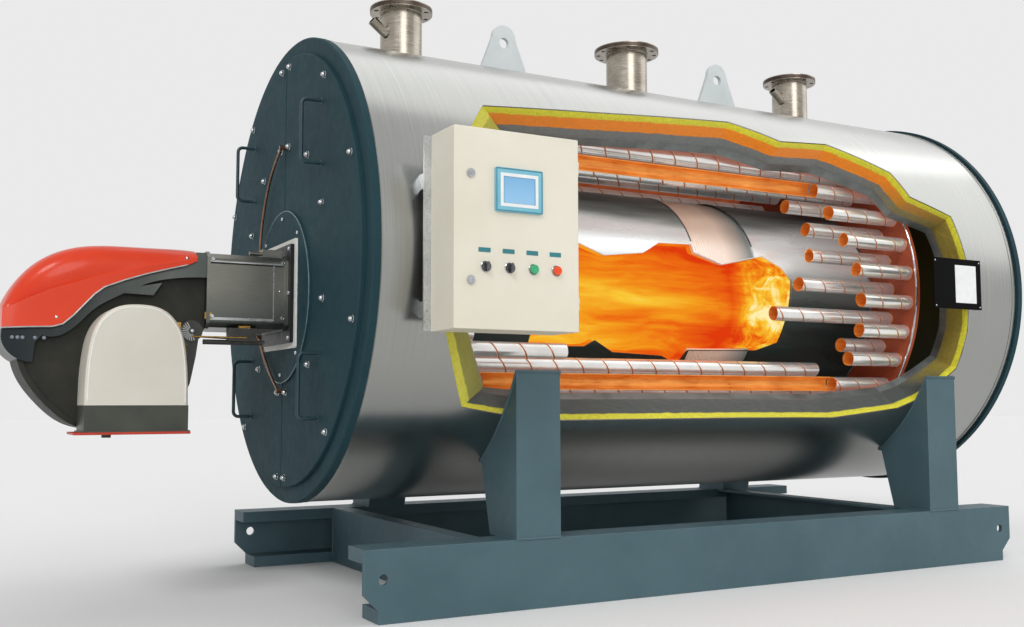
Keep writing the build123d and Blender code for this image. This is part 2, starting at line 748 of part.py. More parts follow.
for name, height in (("lock_lower", lock_z[0]), ("lock_upper", lock_z[1])):
    with BuildPart() as lock:
        for depth, radius, length in ((-shaft_depth, shaft_radius, shaft_depth + 2), (0.5, 17, 5)):
            with BuildSketch(Plane.XZ.offset(door_face + depth)) as lock_round:
                with Locations((lock_x, height)):
                    Circle(radius)
            extrude(amount=length)
        with BuildSketch(Plane.XZ.offset(door_face + 3)) as key_slot:
            with Locations((lock_x, height)):
                Rectangle(18, 4)
        extrude(amount=4, mode=Mode.SUBTRACT)
    lock.part.label = name
    export_step(lock.part, f"parts/{name}.step")

# Burner duct between the square plate and the fan housing: flanged at both ends, a bead recess along each
# side under the top edge, and cut-back lower edges.
duct_length = 354.0
duct_width = 360.0
duct_height = 318.0
duct_flange = 14.0
duct_flange_lip = 6.0
duct_edge_cut = 24.0
duct_start = burner_plate_face - duct_length
duct_top = burner_axis + duct_height / 2
duct_bottom = burner_axis - duct_height / 2
recess_z = duct_top - 36
with BuildPart() as burner_duct:
    with BuildSketch(Plane.YZ.offset(at(duct_start))) as duct_sketch:
        with Locations((0, burner_axis)):
            Rectangle(duct_width, duct_height)
        chamfer(duct_sketch.vertices().group_by(Axis.Z)[0], duct_edge_cut)
        fillet(duct_sketch.vertices().group_by(Axis.Z)[-1], 14)
    extrude(amount=duct_length - fit_gap)
    with BuildSketch(Plane.YZ.offset(at(duct_start + 2 * duct_flange))) as recess_sketch:
        for side in (-1, 1):
            with Locations((side * duct_width / 2, recess_z)):
                Rectangle(14, 20)
    extrude(amount=duct_length - 4.5 * duct_flange, mode=Mode.SUBTRACT)
    with BuildSketch(
        Plane.YZ.offset(at(duct_start)),
        Plane.YZ.offset(at(burner_plate_face - duct_flange - fit_gap)),
    ) as flange_sketch:
        with Locations((0, burner_axis)):
            Rectangle(duct_width + 2 * duct_flange_lip, duct_height + 2 * duct_flange_lip)
        chamfer(flange_sketch.vertices(), duct_edge_cut)
    extrude(amount=duct_flange)
    with BuildSketch(Plane.XY.offset(duct_top - 2)) as junction_sketch:
        with Locations((at(burner_plate_face - 64), -0.36 * duct_width)):
            Rectangle(88, 56)
    extrude(amount=34)
    with BuildSketch(Plane.YZ.offset(at(burner_plate_face - 160))) as gland_sketch:
        with Locations((-0.36 * duct_width, duct_top + 14)):
            Circle(9)
    extrude(amount=60)
burner_duct.part.label = "burner_duct"
export_step(burner_duct.part, "parts/burner_duct.step")


# The hood, frame and fan housing are drawn from the corner where the duct starts, on its top line.
def off_duct(*points):
    return [(at(duct_start) - fit_gap + x, duct_top + z) for x, z in points]


head_half_width = 200.0
hood_depth = 400.0
frame_half_width = 180.0
housing_near = 150.0
housing_far = 170.0
hood_edge = off_duct(
    (-787, -345), (-600, -337), (-528, -290), (-451, -202), (-331, -136), (-79, -60)
)
hood_end = off_duct((-79, -60), (-44, -42), (-44, 3))
with BuildPart() as burner_hood:
    for x, crease, top, width, crown in (
        (-787, -272, -258, 0.97, 0.70),
        (-660, -208, -79, 1.0, 0.86),
        (-540, -161, -19, 1.0, 0.96),
        (-415, -123, 0, 1.0, 0.975),
        (-290, -87, 1, 1.0, 0.975),
        (-165, -57, 2, 1.0, 0.975),
        (-44, -29, 3, 1.0, 0.975),
    ):
        skirt_y = width * head_half_width
        crown_y = crown * head_half_width
        with BuildSketch(Plane.YZ.offset(off_duct((x, 0))[0][0])) as hood_section:
            with BuildLine():
                Polyline(
                    (-crown_y, duct_top + crease + 6),
                    (-skirt_y, duct_top + crease),
                    (-skirt_y, duct_top - hood_depth),
                    (skirt_y, duct_top - hood_depth),
                    (skirt_y, duct_top + crease),
                    (crown_y, duct_top + crease + 6),
                )
                Spline(
                    (crown_y, duct_top + crease + 6),
                    (0.82 * crown_y, duct_top + top - 6),
                    (0, duct_top + top + 8),
                    (-0.82 * crown_y, duct_top + top - 6),
                    (-crown_y, duct_top + crease + 6),
                )
            make_face()
    loft()
    with BuildSketch(Plane.XZ) as hood_underside:
        with BuildLine():
            Spline(*hood_edge[1:])
            Polyline(hood_edge[-1], hood_end[1], (hood_end[1][0] + 60, hood_end[1][1]))
            Polyline(
                (hood_end[1][0] + 60, hood_end[1][1]),
                (hood_end[1][0] + 60, hood_edge[0][1] - 200),
                (hood_edge[0][0] - 60, hood_edge[0][1] - 200),
                (hood_edge[0][0] - 60, hood_edge[0][1]),
                hood_edge[0],
                hood_edge[1],
            )
        make_face()
    extrude(amount=2 * head_half_width, both=True, mode=Mode.SUBTRACT)
burner_hood.part.label = "burner_hood"
export_step(burner_hood.part, "parts/burner_hood.step")

# Cast frame under the hood, with the rounded nose below its front.
frame_edge = off_duct(
    (-640, -372), (-570, -368), (-524, -338), (-447, -259), (-359, -204), (-230, -141), (-108, -115),
    (0, -108),
)
nose_edge = off_duct(
    (-786, -357), (-782, -407), (-765, -435), (-714, -471), (-672, -477), (-664, -400), (-640, -372)
)
with BuildPart() as burner_frame:
    with BuildSketch(Plane.XZ.offset(-frame_half_width)) as frame_sketch:
        with BuildLine():
            Polyline(
                (nose_edge[0][0], nose_edge[0][1]),
                (hood_edge[0][0], hood_edge[0][1] - fit_gap),
                (hood_edge[1][0], hood_edge[1][1] - fit_gap),
            )
            Spline(*[(x, z - fit_gap) for x, z in hood_edge[1:]])
            Polyline(
                (hood_edge[-1][0], hood_edge[-1][1] - fit_gap),
                (hood_end[1][0] + fit_gap, hood_end[1][1] - fit_gap),
                (hood_end[1][0] + fit_gap, duct_top - 3),
                (at(duct_start) - fit_gap, duct_top - 3),
                frame_edge[-1],
            )
            Spline(*frame_edge)
            Spline(*nose_edge[:5])
            Polyline(*nose_edge[4:])
        make_face()
    extrude(amount=2 * frame_half_width)
burner_frame.part.label = "burner_frame"
export_step(burner_frame.part, "parts/burner_frame.step")

# Fan housing: a scroll across the burner, fitted under the frame, with a raised rim on its near face.
intake_width = 396.0
intake_height = 400.0
intake_depth = 200.0
intake_band = 100.0
intake_foot = 14.0
intake_centre_x = at(duct_start) - 300
intake_top = duct_top - 248
scroll_right = off_duct((0, -90), (0, -326), (-22, -366), (-32, -443), (-54, -556), (-135, -739))
scroll_left = off_duct(
    (-135, -739), (-330, -750), (-524, -722), (-628, -636), (-705, -529), (-730, -450)
)
scroll_top = off_duct(
    (-730, -450), (-690, -390), (-570, -352), (-480, -262), (-380, -182), (-230, -118), (0, -90)
)
with BuildPart() as fan_housing:
    with BuildSketch(Plane.XZ.offset(-housing_far)) as scroll_sketch:
        with BuildLine():
            Polyline(*scroll_right)
            Spline(*scroll_left)
            Polyline(*scroll_top)
        make_face()
    extrude(amount=housing_far + housing_near)
    with BuildSketch(Plane.XZ.offset(housing_near)) as rim_sketch:
        add(scroll_sketch.sketch_local)
        add(scroll_sketch.sketch_local.moved(Location((18, 12))), mode=Mode.SUBTRACT)
        with Locations((intake_centre_x + 200, intake_top - 200)):
            Rectangle(intake_width + 420, 1200, mode=Mode.SUBTRACT)
    extrude(amount=10)
    extrude(
        to_extrude=frame_sketch.sketch.moved(Location((fit_gap, 0, -fit_gap))),
        amount=2 * frame_half_width,
        mode=Mode.SUBTRACT,
    )
fan_housing.part.label = "fan_housing"
export_step(fan_housing.part, "parts/fan_housing.step")

# Air intake: arched cover over a dark base band, on a plate with a round foot.
intake_back = housing_near + fit_gap
intake_bottom = intake_top - intake_height
with BuildPart() as air_intake_box:
    with BuildSketch(Plane.XZ.offset(intake_back)) as intake_sketch:
        with BuildLine():
            Spline(
                *[
                    (intake_centre_x + side * intake_width / 2, intake_top - drop * intake_height)
                    for side, drop in (
                        (-1, 1),
                        (-0.985, 0.70),
                        (-0.94, 0.46),
                        (-0.80, 0.21),
                        (-0.48, 0.045),
                        (0, 0),
                        (0.48, 0.045),
                        (0.80, 0.21),
                        (0.94, 0.46),
                        (0.985, 0.70),
                        (1, 1),
                    )
                ]
            )
            Line(
                (intake_centre_x - intake_width / 2, intake_bottom),
                (intake_centre_x + intake_width / 2, intake_bottom),
            )
        make_face()
    extrude(amount=intake_depth)
    front_edges = air_intake_box.faces().sort_by(Axis.Y)[0].edges().sort_by(SortBy.LENGTH)
    fillet(front_edges[-1], 14)
air_intake_box.part.label = "air_intake_box"
export_step(air_intake_box.part, "parts/air_intake_box.step")

band_bottom = intake_bottom - fit_gap - intake_band
with BuildPart() as air_intake_base:
    intake_middle = (intake_centre_x, -(intake_back + intake_depth / 2))
    with BuildSketch(Plane.XY.offset(band_bottom)) as band_sketch:
        with Locations(intake_middle):
            Rectangle(intake_width, intake_depth)
    extrude(amount=intake_band)
    with BuildSketch(Plane.XY.offset(band_bottom)) as plate_sketch:
        with Locations(intake_middle):
            Rectangle(intake_width + 16, intake_depth + 10)
    extrude(amount=-intake_foot)
    with BuildSketch(Plane.XY.offset(band_bottom - intake_foot)) as foot_sketch:
        with Locations((intake_centre_x - intake_width / 4, -(intake_back + intake_depth / 2))):
            Circle(18)
    extrude(amount=-14)
    split(bisect_by=Plane.XZ.offset(intake_back), keep=Keep.TOP)
air_intake_base.part.label = "air_intake_base"
export_step(air_intake_base.part, "parts/air_intake_base.step")

# Air damper linkage: cam disc and guard strip on the fan housing, carrier and slide bar under the duct.
cam_radius = 45.0
cam_centre, = off_duct((-54, -336))
lever_z = duct_bottom - 50
strip_corners = off_duct((-82, -340), (-90, -374), (-70, -548), (-56, -552), (-36, -443), (-28, -380))
with BuildPart() as burner_linkage:
    with BuildSketch(Plane.XZ.offset(housing_near + fit_gap)) as cam_sketch:
        with Locations(cam_centre):
            Circle(cam_radius)
    extrude(amount=16)
    with BuildSketch(Plane.XZ.offset(housing_near + fit_gap)) as strip_outline:
        with BuildLine():
            Polyline(*strip_corners, close=True)
        make_face()
    extrude(amount=8)
    with BuildSketch(Plane.XZ.offset(0.36 * duct_width)) as carrier_sketch:
        with Locations((at(duct_start) + 160, duct_bottom - fit_gap - 28)):
            Rectangle(120, 56)
    extrude(amount=46)
    with BuildSketch(Plane.YZ.offset(at(duct_start) - 4)) as bar_sketch:
        with Locations((-0.36 * duct_width - 24, duct_bottom - 62)):
            Circle(11)
    extrude(amount=254)
    with BuildSketch(Plane.XZ.offset(housing_near + 12)) as push_rod:
        with BuildLine():
            Polyline(
                (cam_centre[0], cam_centre[1] - 20),
                (at(duct_start) + 190, lever_z + 3),
                (at(duct_start) + 190, lever_z - 3),
                (cam_centre[0], cam_centre[1] - 26),
                close=True,
            )
        make_face()
    extrude(amount=6)
burner_linkage.part.label = "burner_linkage"
export_step(burner_linkage.part, "parts/burner_linkage.step")

# Nameplate on a rib that follows the cladding.
nameplate_width = 350.0
nameplate_height = 258.0
nameplate_x = at(body_length - 465)
rib_width = 40.0
with BuildPart() as nameplate:
    with BuildSketch(Plane.XZ.offset(cladding_radius + 6)) as nameplate_sketch:
        with Locations((nameplate_x, axis_height)):
            Rectangle(nameplate_width, nameplate_height)
    extrude(amount=4)
    with BuildSketch(Plane.XZ.offset(root_depth)) as rib_sketch:
        with Locations((nameplate_x + nameplate_width / 2 - 0.75 * rib_width, axis_height)):
            Rectangle(rib_width, 0.78 * nameplate_height)
    extrude(amount=cladding_radius + 8 - root_depth)
    with BuildSketch(Plane.YZ.offset(at(0))) as nameplate_round:
        with Locations((0, axis_height)):
            Circle(seat_radius)
    extrude(amount=body_length, mode=Mode.SUBTRACT)
nameplate.part.label = "nameplate"
export_step(nameplate.part, "parts/nameplate.step")
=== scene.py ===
import functools
import math

import bpy
import bmesh
import numpy as np
from mathutils import Matrix, Vector


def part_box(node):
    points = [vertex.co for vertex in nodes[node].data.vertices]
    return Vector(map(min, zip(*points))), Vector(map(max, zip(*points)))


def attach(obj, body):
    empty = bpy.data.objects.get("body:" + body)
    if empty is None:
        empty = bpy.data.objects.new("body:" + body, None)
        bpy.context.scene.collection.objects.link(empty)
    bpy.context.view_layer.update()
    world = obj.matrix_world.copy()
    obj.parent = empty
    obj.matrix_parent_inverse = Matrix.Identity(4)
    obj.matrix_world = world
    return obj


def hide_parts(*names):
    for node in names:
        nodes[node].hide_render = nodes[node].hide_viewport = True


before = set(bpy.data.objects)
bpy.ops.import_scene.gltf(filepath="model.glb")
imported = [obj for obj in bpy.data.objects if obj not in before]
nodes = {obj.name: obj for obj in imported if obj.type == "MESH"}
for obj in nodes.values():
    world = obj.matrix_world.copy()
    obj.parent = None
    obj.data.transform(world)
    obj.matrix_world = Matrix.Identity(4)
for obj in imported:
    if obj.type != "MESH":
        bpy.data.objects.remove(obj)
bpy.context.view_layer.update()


def box(nodeName):
    # a node's lowest corner, highest corner, middle and half size
    low, high = np.array(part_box(nodeName))
    return low, high, (low + high) / 2, (high - low) / 2


# the boiler's own datum: front plate face and barrel axis, read from the frame
frontX = box("front_plate")[0][0]
axisZ = box("cladding")[2][2]
claddingRadius = box("cladding")[3][2]
shellRadius = box("pressure_shell")[3][2]
woolRadius = box("insulation")[3][2]
shellBore = 0.860
bodyEnd = box("rear_cover")[0][0]
bodyLength = bodyEnd - frontX
burnerZ = box("burner_plate")[2][2]
fullTurn = 2 * math.pi
rng = np.random.default_rng(7)
print("frame loaded, barrel radius", round(claddingRadius, 3))


def station(metres):
    # the x of a place this far behind the front plate's face
    return frontX + metres


def share(part):
    # the x of a place at this share of the body's length
    return frontX + part * bodyLength


def hexColour(code):
    # sRGB hex to linear: the usual power curve above the toe, a straight line below it
    srgb = np.array([int(code[i:i + 2], 16) for i in (1, 3, 5)]) / 255
    linear = np.where(srgb <= 0.04045, srgb / 12.92, ((srgb + 0.055) / 1.055) ** 2.4)
    return (*linear.tolist(), 1.0)


def addNode(tree, kind, inputs=(), stops=(), **settings):
    # inputs go by name, or as a tuple in the order of the live sockets; a node stands for its first live
    # output and a string for a colour in hex; every mix here is one of colours
    node = tree.nodes.new("ShaderNode" + kind)
    if kind == "Mix":
        node.data_type = "RGBA"
    for key, value in settings.items():
        setattr(node, key, value)
    if isinstance(inputs, dict):
        pairs = [(node.inputs[key], value) for key, value in inputs.items()]
    else:
        pairs = zip([socket for socket in node.inputs if socket.enabled], inputs)
    for socket, value in pairs:
        if isinstance(value, bpy.types.Node):
            value = next(output for output in value.outputs if output.enabled)
        if isinstance(value, bpy.types.NodeSocket):
            tree.links.new(value, socket)
        else:
            socket.default_value = hexColour(value) if isinstance(value, str) else value
    for index, (place, colour) in enumerate(stops):
        elements = node.color_ramp.elements
        stop = elements[index] if index < 2 else elements.new(place)
        stop.position = place
        stop.color = hexColour(colour) if isinstance(colour, str) else (colour, colour, colour, 1)
    return node


def newMaterial(name):
    material = bpy.data.materials.new(name)
    material.use_nodes = True
    material.node_tree.nodes.clear()
    add = functools.partial(addNode, material.node_tree)
    return material, add, add("TexCoord").outputs["Object"]


def closeMaterial(material, add, look):
    add("OutputMaterial", (add("BsdfPrincipled", look),))
    return material


usualPaint = {"peelMm": 3, "wearMm": 3, "wear": 0.4, "bump": 0.2, "gloss": 0.4}


def paintedSteel(name, paint):
    # sprayed enamel on welded steel: faint orange peel, slow tone drift, rubbed edges and a little dust
    paint = {**usualPaint, **paint}
    material, add, place = newMaterial(name)
    drift = add("TexNoise", (place, 1000 / paint["driftMm"], 5.0, 0.6))
    peel = add("TexNoise", (place, 1000 / paint["peelMm"], 2.0))
    grime = add("TexNoise", (place, 1000 / 45, 6.0, 0.7))
    tone = add("ValToRGB", (drift,), [(0.3, paint["shade"]), (0.7, paint["colour"])])
    rounded = add("Bevel", (paint["wearMm"] / 1000,), samples=4)
    flat = add("NewGeometry").outputs["Normal"]
    along = add("VectorMath", (rounded, flat), operation="DOT_PRODUCT")
    edge = add("MapRange", (along, 0.995, 0.86))
    ragged = add("Math", (edge, grime), operation="MULTIPLY")
    rubbed = add("MapRange", (ragged, 0.25, 0.62, 0.0, paint["wear"]))
    worn = add("Mix", (rubbed, tone, paint["bare"]))
    gloss = add("MapRange", (grime, 0.3, 0.75, paint["rough"] - 0.06, paint["rough"] + 0.12))
    bump = add("Bump", {"Height": peel, "Strength": paint["bump"], "Distance": 0.0006})
    return closeMaterial(material, add, {
        "Base Color": worn, "Roughness": gloss, "Normal": bump, "IOR": 1.5,
        "Specular IOR Level": paint["gloss"]})


usualMetal = {"swing": 0.08, "bump": 0.08, "metallic": 1.0, "anisotropic": 0.0, "glow": 0.0}


def workedMetal(name, metal):
    # bare metal with the marks of its making: the grain's lengths say which way the belt or the lathe ran
    metal = {**usualMetal, **metal}
    material, add, place = newMaterial(name)
    laid = add("Mapping", {"Vector": place, "Scale": tuple(1000 / mm for mm in metal["grainMm"])})
    grain = add("TexNoise", (laid, 1.0, 3.0, 0.6))
    drift = add("TexNoise", (place, 1000 / metal["driftMm"], 4.0))
    both = add("Math", (grain, drift), operation="ADD")
    tone = add("MapRange", (both, 0.75, 1.25))
    colour = add("Mix", (tone, metal["shade"], metal["colour"]))
    if "paintedDark" in metal:
        # painted shade darkens one end of the piece, from the first place in the span to the second
        along = add("SeparateXYZ", (place,)).outputs[metal["paintedDarkAxis"]]
        unshaded = add("MapRange", (along, *metal["paintedDarkSpan"]))
        colour = add("Mix", (unshaded, metal["paintedDark"], colour))
    rough = add("MapRange", (both, 0.7, 1.3, metal["rough"] - metal["swing"], metal["rough"] + metal["swing"]))
    bump = add("Bump", {"Height": grain, "Strength": metal["bump"], "Distance": 0.0004})
    return closeMaterial(material, add, {
        "Base Color": colour, "Roughness": rough, "Normal": bump, "Metallic": metal["metallic"],
        "Anisotropic": metal["anisotropic"], "Emission Color": colour, "Emission Strength": metal["glow"]})


usualPlastic = {"bump": 0.2, "ior": 1.5, "gloss": 0.5, "coat": 0.0}


def mouldedPlastic(name, plastic):
    # moulded or laid-up plastic: even colour, fine texture, soft scuffs in the gloss
    plastic = {**usualPlastic, **plastic}
    material, add, place = newMaterial(name)
    scuff = add("TexNoise", (place, 1000 / plastic["scuffMm"], 6.0, 0.65))
    grain = add("TexNoise", (place, 1000 / plastic["grainMm"], 2.0))
    tone = add("ValToRGB", (scuff,), [(0.3, plastic["shade"]), (0.72, plastic["colour"])])
    rough = add("MapRange", (scuff, 0.3, 0.75, plastic["rough"] - 0.05, plastic["rough"] + 0.1))
    bump = add("Bump", {"Height": grain, "Strength": plastic["bump"], "Distance": 0.0004})
    return closeMaterial(material, add, {
        "Base Color": tone, "Roughness": rough, "Normal": bump, "IOR": plastic["ior"],
        "Specular IOR Level": plastic["gloss"], "Coat Weight": plastic["coat"], "Coat Roughness": 0.06})


skidEnamel = paintedSteel("skidEnamelSprayed", {
    "colour": "#4A636B", "shade": "#3F5860", "bare": "#8397A0", "driftMm": 380, "peelMm": 6,
    "wearMm": 5, "wear": 0.45, "rough": 0.5, "bump": 0.25, "gloss": 0.35})
doorEnamel = paintedSteel("doorEnamelSprayed", {
    "colour": "#254148", "shade": "#1E373E", "bare": "#4C666D", "driftMm": 420, "peelMm": 5,
    "wearMm": 4, "wear": 0.5, "rough": 0.6, "bump": 0.15, "gloss": 0.1})
cabinetEnamel = paintedSteel("cabinetPowderCoat", {
    "colour": "#E3DECF", "shade": "#D8D2C0", "bare": "#F2EEE2", "driftMm": 500, "peelMm": 2.2,
    "wear": 0.5, "rough": 0.45, "bump": 0.3})
lugPaint = paintedSteel("lugPrimerSprayed", {
    "colour": "#D0D6D6", "shade": "#C2C9CA", "bare": "#E4E8E8", "driftMm": 160,
    "wear": 0.5, "rough": 0.45, "bump": 0.25})
burnerBlack = paintedSteel("burnerPlateBlackEnamel", {
    "colour": "#121416", "shade": "#0A0B0D", "bare": "#43474A", "driftMm": 180, "peelMm": 2,
    "rough": 0.42, "bump": 0.3, "gloss": 0.3})
handleSteel = paintedSteel("handleEnamelDipped", {
    "colour": "#294249", "shade": "#1D3238", "bare": "#6C858B", "driftMm": 90,
    "wearMm": 2, "wear": 0.5, "rough": 0.36})
housingBlack = paintedSteel("fanHousingDarkEnamel", {
    "colour": "#3B3A34", "shade": "#22241F", "bare": "#565B58", "driftMm": 260, "peelMm": 2.5,
    "wear": 0.3, "rough": 0.5, "gloss": 0.12})
linkageSteel = paintedSteel("linkageBlackenedSteel", {
    "colour": "#3A3B37", "shade": "#262724", "bare": "#8C8878", "driftMm": 40,
    "wearMm": 2, "wear": 0.6, "rough": 0.42, "bump": 0.3})
intakeBeige = paintedSteel("intakeCoverSatinEnamel", {
    "colour": "#D6D2C7", "shade": "#CBC6B9", "bare": "#F0EDE5", "driftMm": 420,
    "wearMm": 8, "wear": 0.45, "rough": 0.36, "bump": 0.12})
intakeDark = paintedSteel("intakeBandDarkEnamel", {
    "colour": "#45483F", "shade": "#393C35", "bare": "#7C7E76", "driftMm": 140, "rough": 0.42, "gloss": 0.3})
baseRed = paintedSteel("intakeBaseRedEnamel", {
    "colour": "#C2371F", "shade": "#A92C18", "bare": "#D98A72", "driftMm": 120, "rough": 0.4})
# a lighter enamel that paints the highlight on the boss's edge
bossHighlightPaint = paintedSteel("bossEdgePaintedHighlight", {
    "colour": "#5F787E", "shade": "#4C646A", "bare": "#9CB0B4", "driftMm": 120, "peelMm": 4,
    "wearMm": 2, "rough": 0.24, "bump": 0.1, "gloss": 0.5})
# a paler enamel that paints the highlight on the intake cover's rounded edge
coverHighlightPaint = paintedSteel("intakeCoverEdgePaintedHighlight", {
    "colour": "#F3F1EA", "shade": "#E6E3DA", "bare": "#FFFFFF", "driftMm": 120, "peelMm": 4,
    "wearMm": 2, "rough": 0.24, "bump": 0.1, "gloss": 0.5})

bracketZinc = workedMetal("bracketZincPlated", {
    "colour": "#D3D5D7", "shade": "#B3B7BA", "grainMm": (9, 9, 9), "driftMm": 120,
    "rough": 0.34, "bump": 0.1})
claddingSteel = workedMetal("claddingStainlessBrushed", {
    "colour": "#A9AAA6", "shade": "#9C9D9A", "grainMm": (4, 900, 900), "driftMm": 1200,
    "rough": 0.25, "swing": 0.02, "bump": 0.02, "anisotropic": 0.3})
nozzleSteel = workedMetal("nozzleStainlessTurned", {
    "colour": "#B3ACA0", "shade": "#857D72", "grainMm": (60, 60, 2.4), "driftMm": 120,
    "rough": 0.27, "bump": 0.12})
# a dark metal that paints the dark reflection on the flange rims
flangeRimDarkReflection = workedMetal("flangeRimPaintedReflection", {
    "colour": "#5A5048", "shade": "#3A322C", "grainMm": (30, 30, 3), "driftMm": 60,
    "rough": 0.36, "bump": 0.15})
copperPipe = workedMetal("copperDrawnOxidised", {
    "colour": "#A27E66", "shade": "#775A46", "grainMm": (14, 14, 14), "driftMm": 70,
    "rough": 0.36, "bump": 0.15})
# the nose end of the cast frame is darkened by painted shade
castAluminium = workedMetal("castAluminiumSandBlasted", {
    "colour": "#646864", "shade": "#3D4240", "grainMm": (3, 3, 3), "driftMm": 200, "rough": 0.38,
    "bump": 0.35, "metallic": 0.9,
    "paintedDark": "#23282A", "paintedDarkAxis": "X", "paintedDarkSpan": (station(-1.15), station(-0.55))})
# the lower part of the duct is darkened by a painted reflection of the floor
ductAluminium = workedMetal("ductSheetSatinAluminium", {
    "colour": "#86857D", "shade": "#77766F", "grainMm": (60, 3, 3), "driftMm": 260, "rough": 0.36,
    "paintedDark": "#5C605C", "paintedDarkAxis": "Z", "paintedDarkSpan": (axisZ - 0.24, axisZ - 0.11)})
trimSteel = workedMetal("hoodTrimAluminiumExtruded", {
    "colour": "#BDC0BE", "shade": "#A3A6A5", "grainMm": (60, 6, 6), "driftMm": 120, "rough": 0.32})
chromeTurned = workedMetal("chromePlatedTurned", {
    "colour": "#D2D4D5", "shade": "#A9ADAF", "grainMm": (2, 2, 2), "driftMm": 24,
    "rough": 0.16, "bump": 0.05})
knobSteel = workedMetal("selectorSatinBlackened", {
    "colour": "#77787A", "shade": "#505254", "grainMm": (2, 2, 2), "driftMm": 18, "rough": 0.3})
brassTurned = workedMetal("brassTurned", {
    "colour": "#B58F48", "shade": "#8A6A33", "grainMm": (3, 3, 3), "driftMm": 30, "rough": 0.28})
tubePlateOxide = workedMetal("tubePlateRedOxide", {
    "colour": "#B0512E", "shade": "#8F3A20", "grainMm": (9, 9, 9), "driftMm": 260,
    "rough": 0.52, "bump": 0.3, "metallic": 0.1})
# the bore's glow is painted light
tubeBore = workedMetal("fireTubeBoreHeatTinted", {
    "colour": "#EFA04A", "shade": "#CE7428", "grainMm": (120, 14, 14), "driftMm": 160,
    "rough": 0.34, "bump": 0.12, "metallic": 0.5, "glow": 0.13})
weldSteel = workedMetal("weldBeadAsLaid", {
    "colour": "#8C8F90", "shade": "#55595B", "grainMm": (4, 4, 4), "driftMm": 40,
    "rough": 0.38, "bump": 0.3, "metallic": 0.9})
copperWeld = workedMetal("weldBeadHeatTinted", {
    "colour": "#D98A5A", "shade": "#A2562E", "grainMm": (4, 4, 4), "driftMm": 40,
    "rough": 0.35, "bump": 0.3, "metallic": 0.7})

hoodGelcoat = mouldedPlastic("hoodGelcoatPolished", {
    "colour": "#DC3D15", "shade": "#CF340F", "scuffMm": 320, "grainMm": 9,
    "rough": 0.3, "bump": 0.06, "coat": 0.2, "gloss": 0.25})
plateAcrylic = mouldedPlastic("nameplateAcrylicCast", {
    "colour": "#060608", "shade": "#020203", "scuffMm": 120, "grainMm": 4,
    "rough": 0.45, "bump": 0.05, "ior": 1.49, "gloss": 0.05})
panelWhite = mouldedPlastic("panelWhitePrinted", {
    "colour": "#EDEEEE", "shade": "#E0E2E3", "scuffMm": 60, "grainMm": 3, "rough": 0.35, "bump": 0.1})
bezelTeal = mouldedPlastic("bezelTealMoulded", {
    "colour": "#7FBFCF", "shade": "#6CB0C3", "scuffMm": 80, "grainMm": 1.6, "rough": 0.34})
frameTeal = mouldedPlastic("bezelRimTealMoulded", {
    "colour": "#458A9F", "shade": "#397A8E", "scuffMm": 60, "grainMm": 1.6, "rough": 0.34})
labelTeal = mouldedPlastic("labelTealEngravingStock", {
    "colour": "#2F7F86", "shade": "#256F77", "scuffMm": 30, "grainMm": 1.5, "rough": 0.4})
buttonGreen = mouldedPlastic("buttonGreenMoulded", {
    "colour": "#3FB07C", "shade": "#2F9E6B", "scuffMm": 18, "grainMm": 1.2, "rough": 0.28, "bump": 0.1})
buttonRed = mouldedPlastic("buttonRedMoulded", {
    "colour": "#F0531C", "shade": "#DC4210", "scuffMm": 18, "grainMm": 1.2, "rough": 0.28, "bump": 0.1})
glandGrey = mouldedPlastic("glandPolyamideMoulded", {
    "colour": "#87919A", "shade": "#646D76", "scuffMm": 20, "grainMm": 1.5, "rough": 0.4})
print("plain finishes ready")


def fibreBoard(name, board):
    # pressed mineral fibre: short strands lie every way, so the tone is mottled and the face is matt
    material, add, place = newMaterial(name)
    strands = add("TexNoise", {
        "Vector": place, "Scale": 1000 / board["strandMm"], "Detail": 8.0, "Distortion": 1.2})
    tone = add("ValToRGB", (strands,), [(0.35, board["shade"]), (0.65, board["colour"])])
    bump = add("Bump", {"Height": strands, "Strength": 0.6, "Distance": 0.001})
    return closeMaterial(material, add, {"Base Color": tone, "Roughness": 0.85, "Normal": bump})


gasketFibre = fibreBoard("gasketCeramicFibre", {"colour": "#E9E9E4", "shade": "#CFCFC8", "strandMm": 5})


def barrelRadius(add, place):
    # the place measured from the barrel's axis, and its distance from that axis
    centred = add("Mapping", (place, (0.0, 0.0, -axisZ)))
    across = add("VectorMath", (centred, (0.0, 1.0, 1.0)), operation="MULTIPLY")
    return centred, add("VectorMath", (across,), operation="LENGTH")


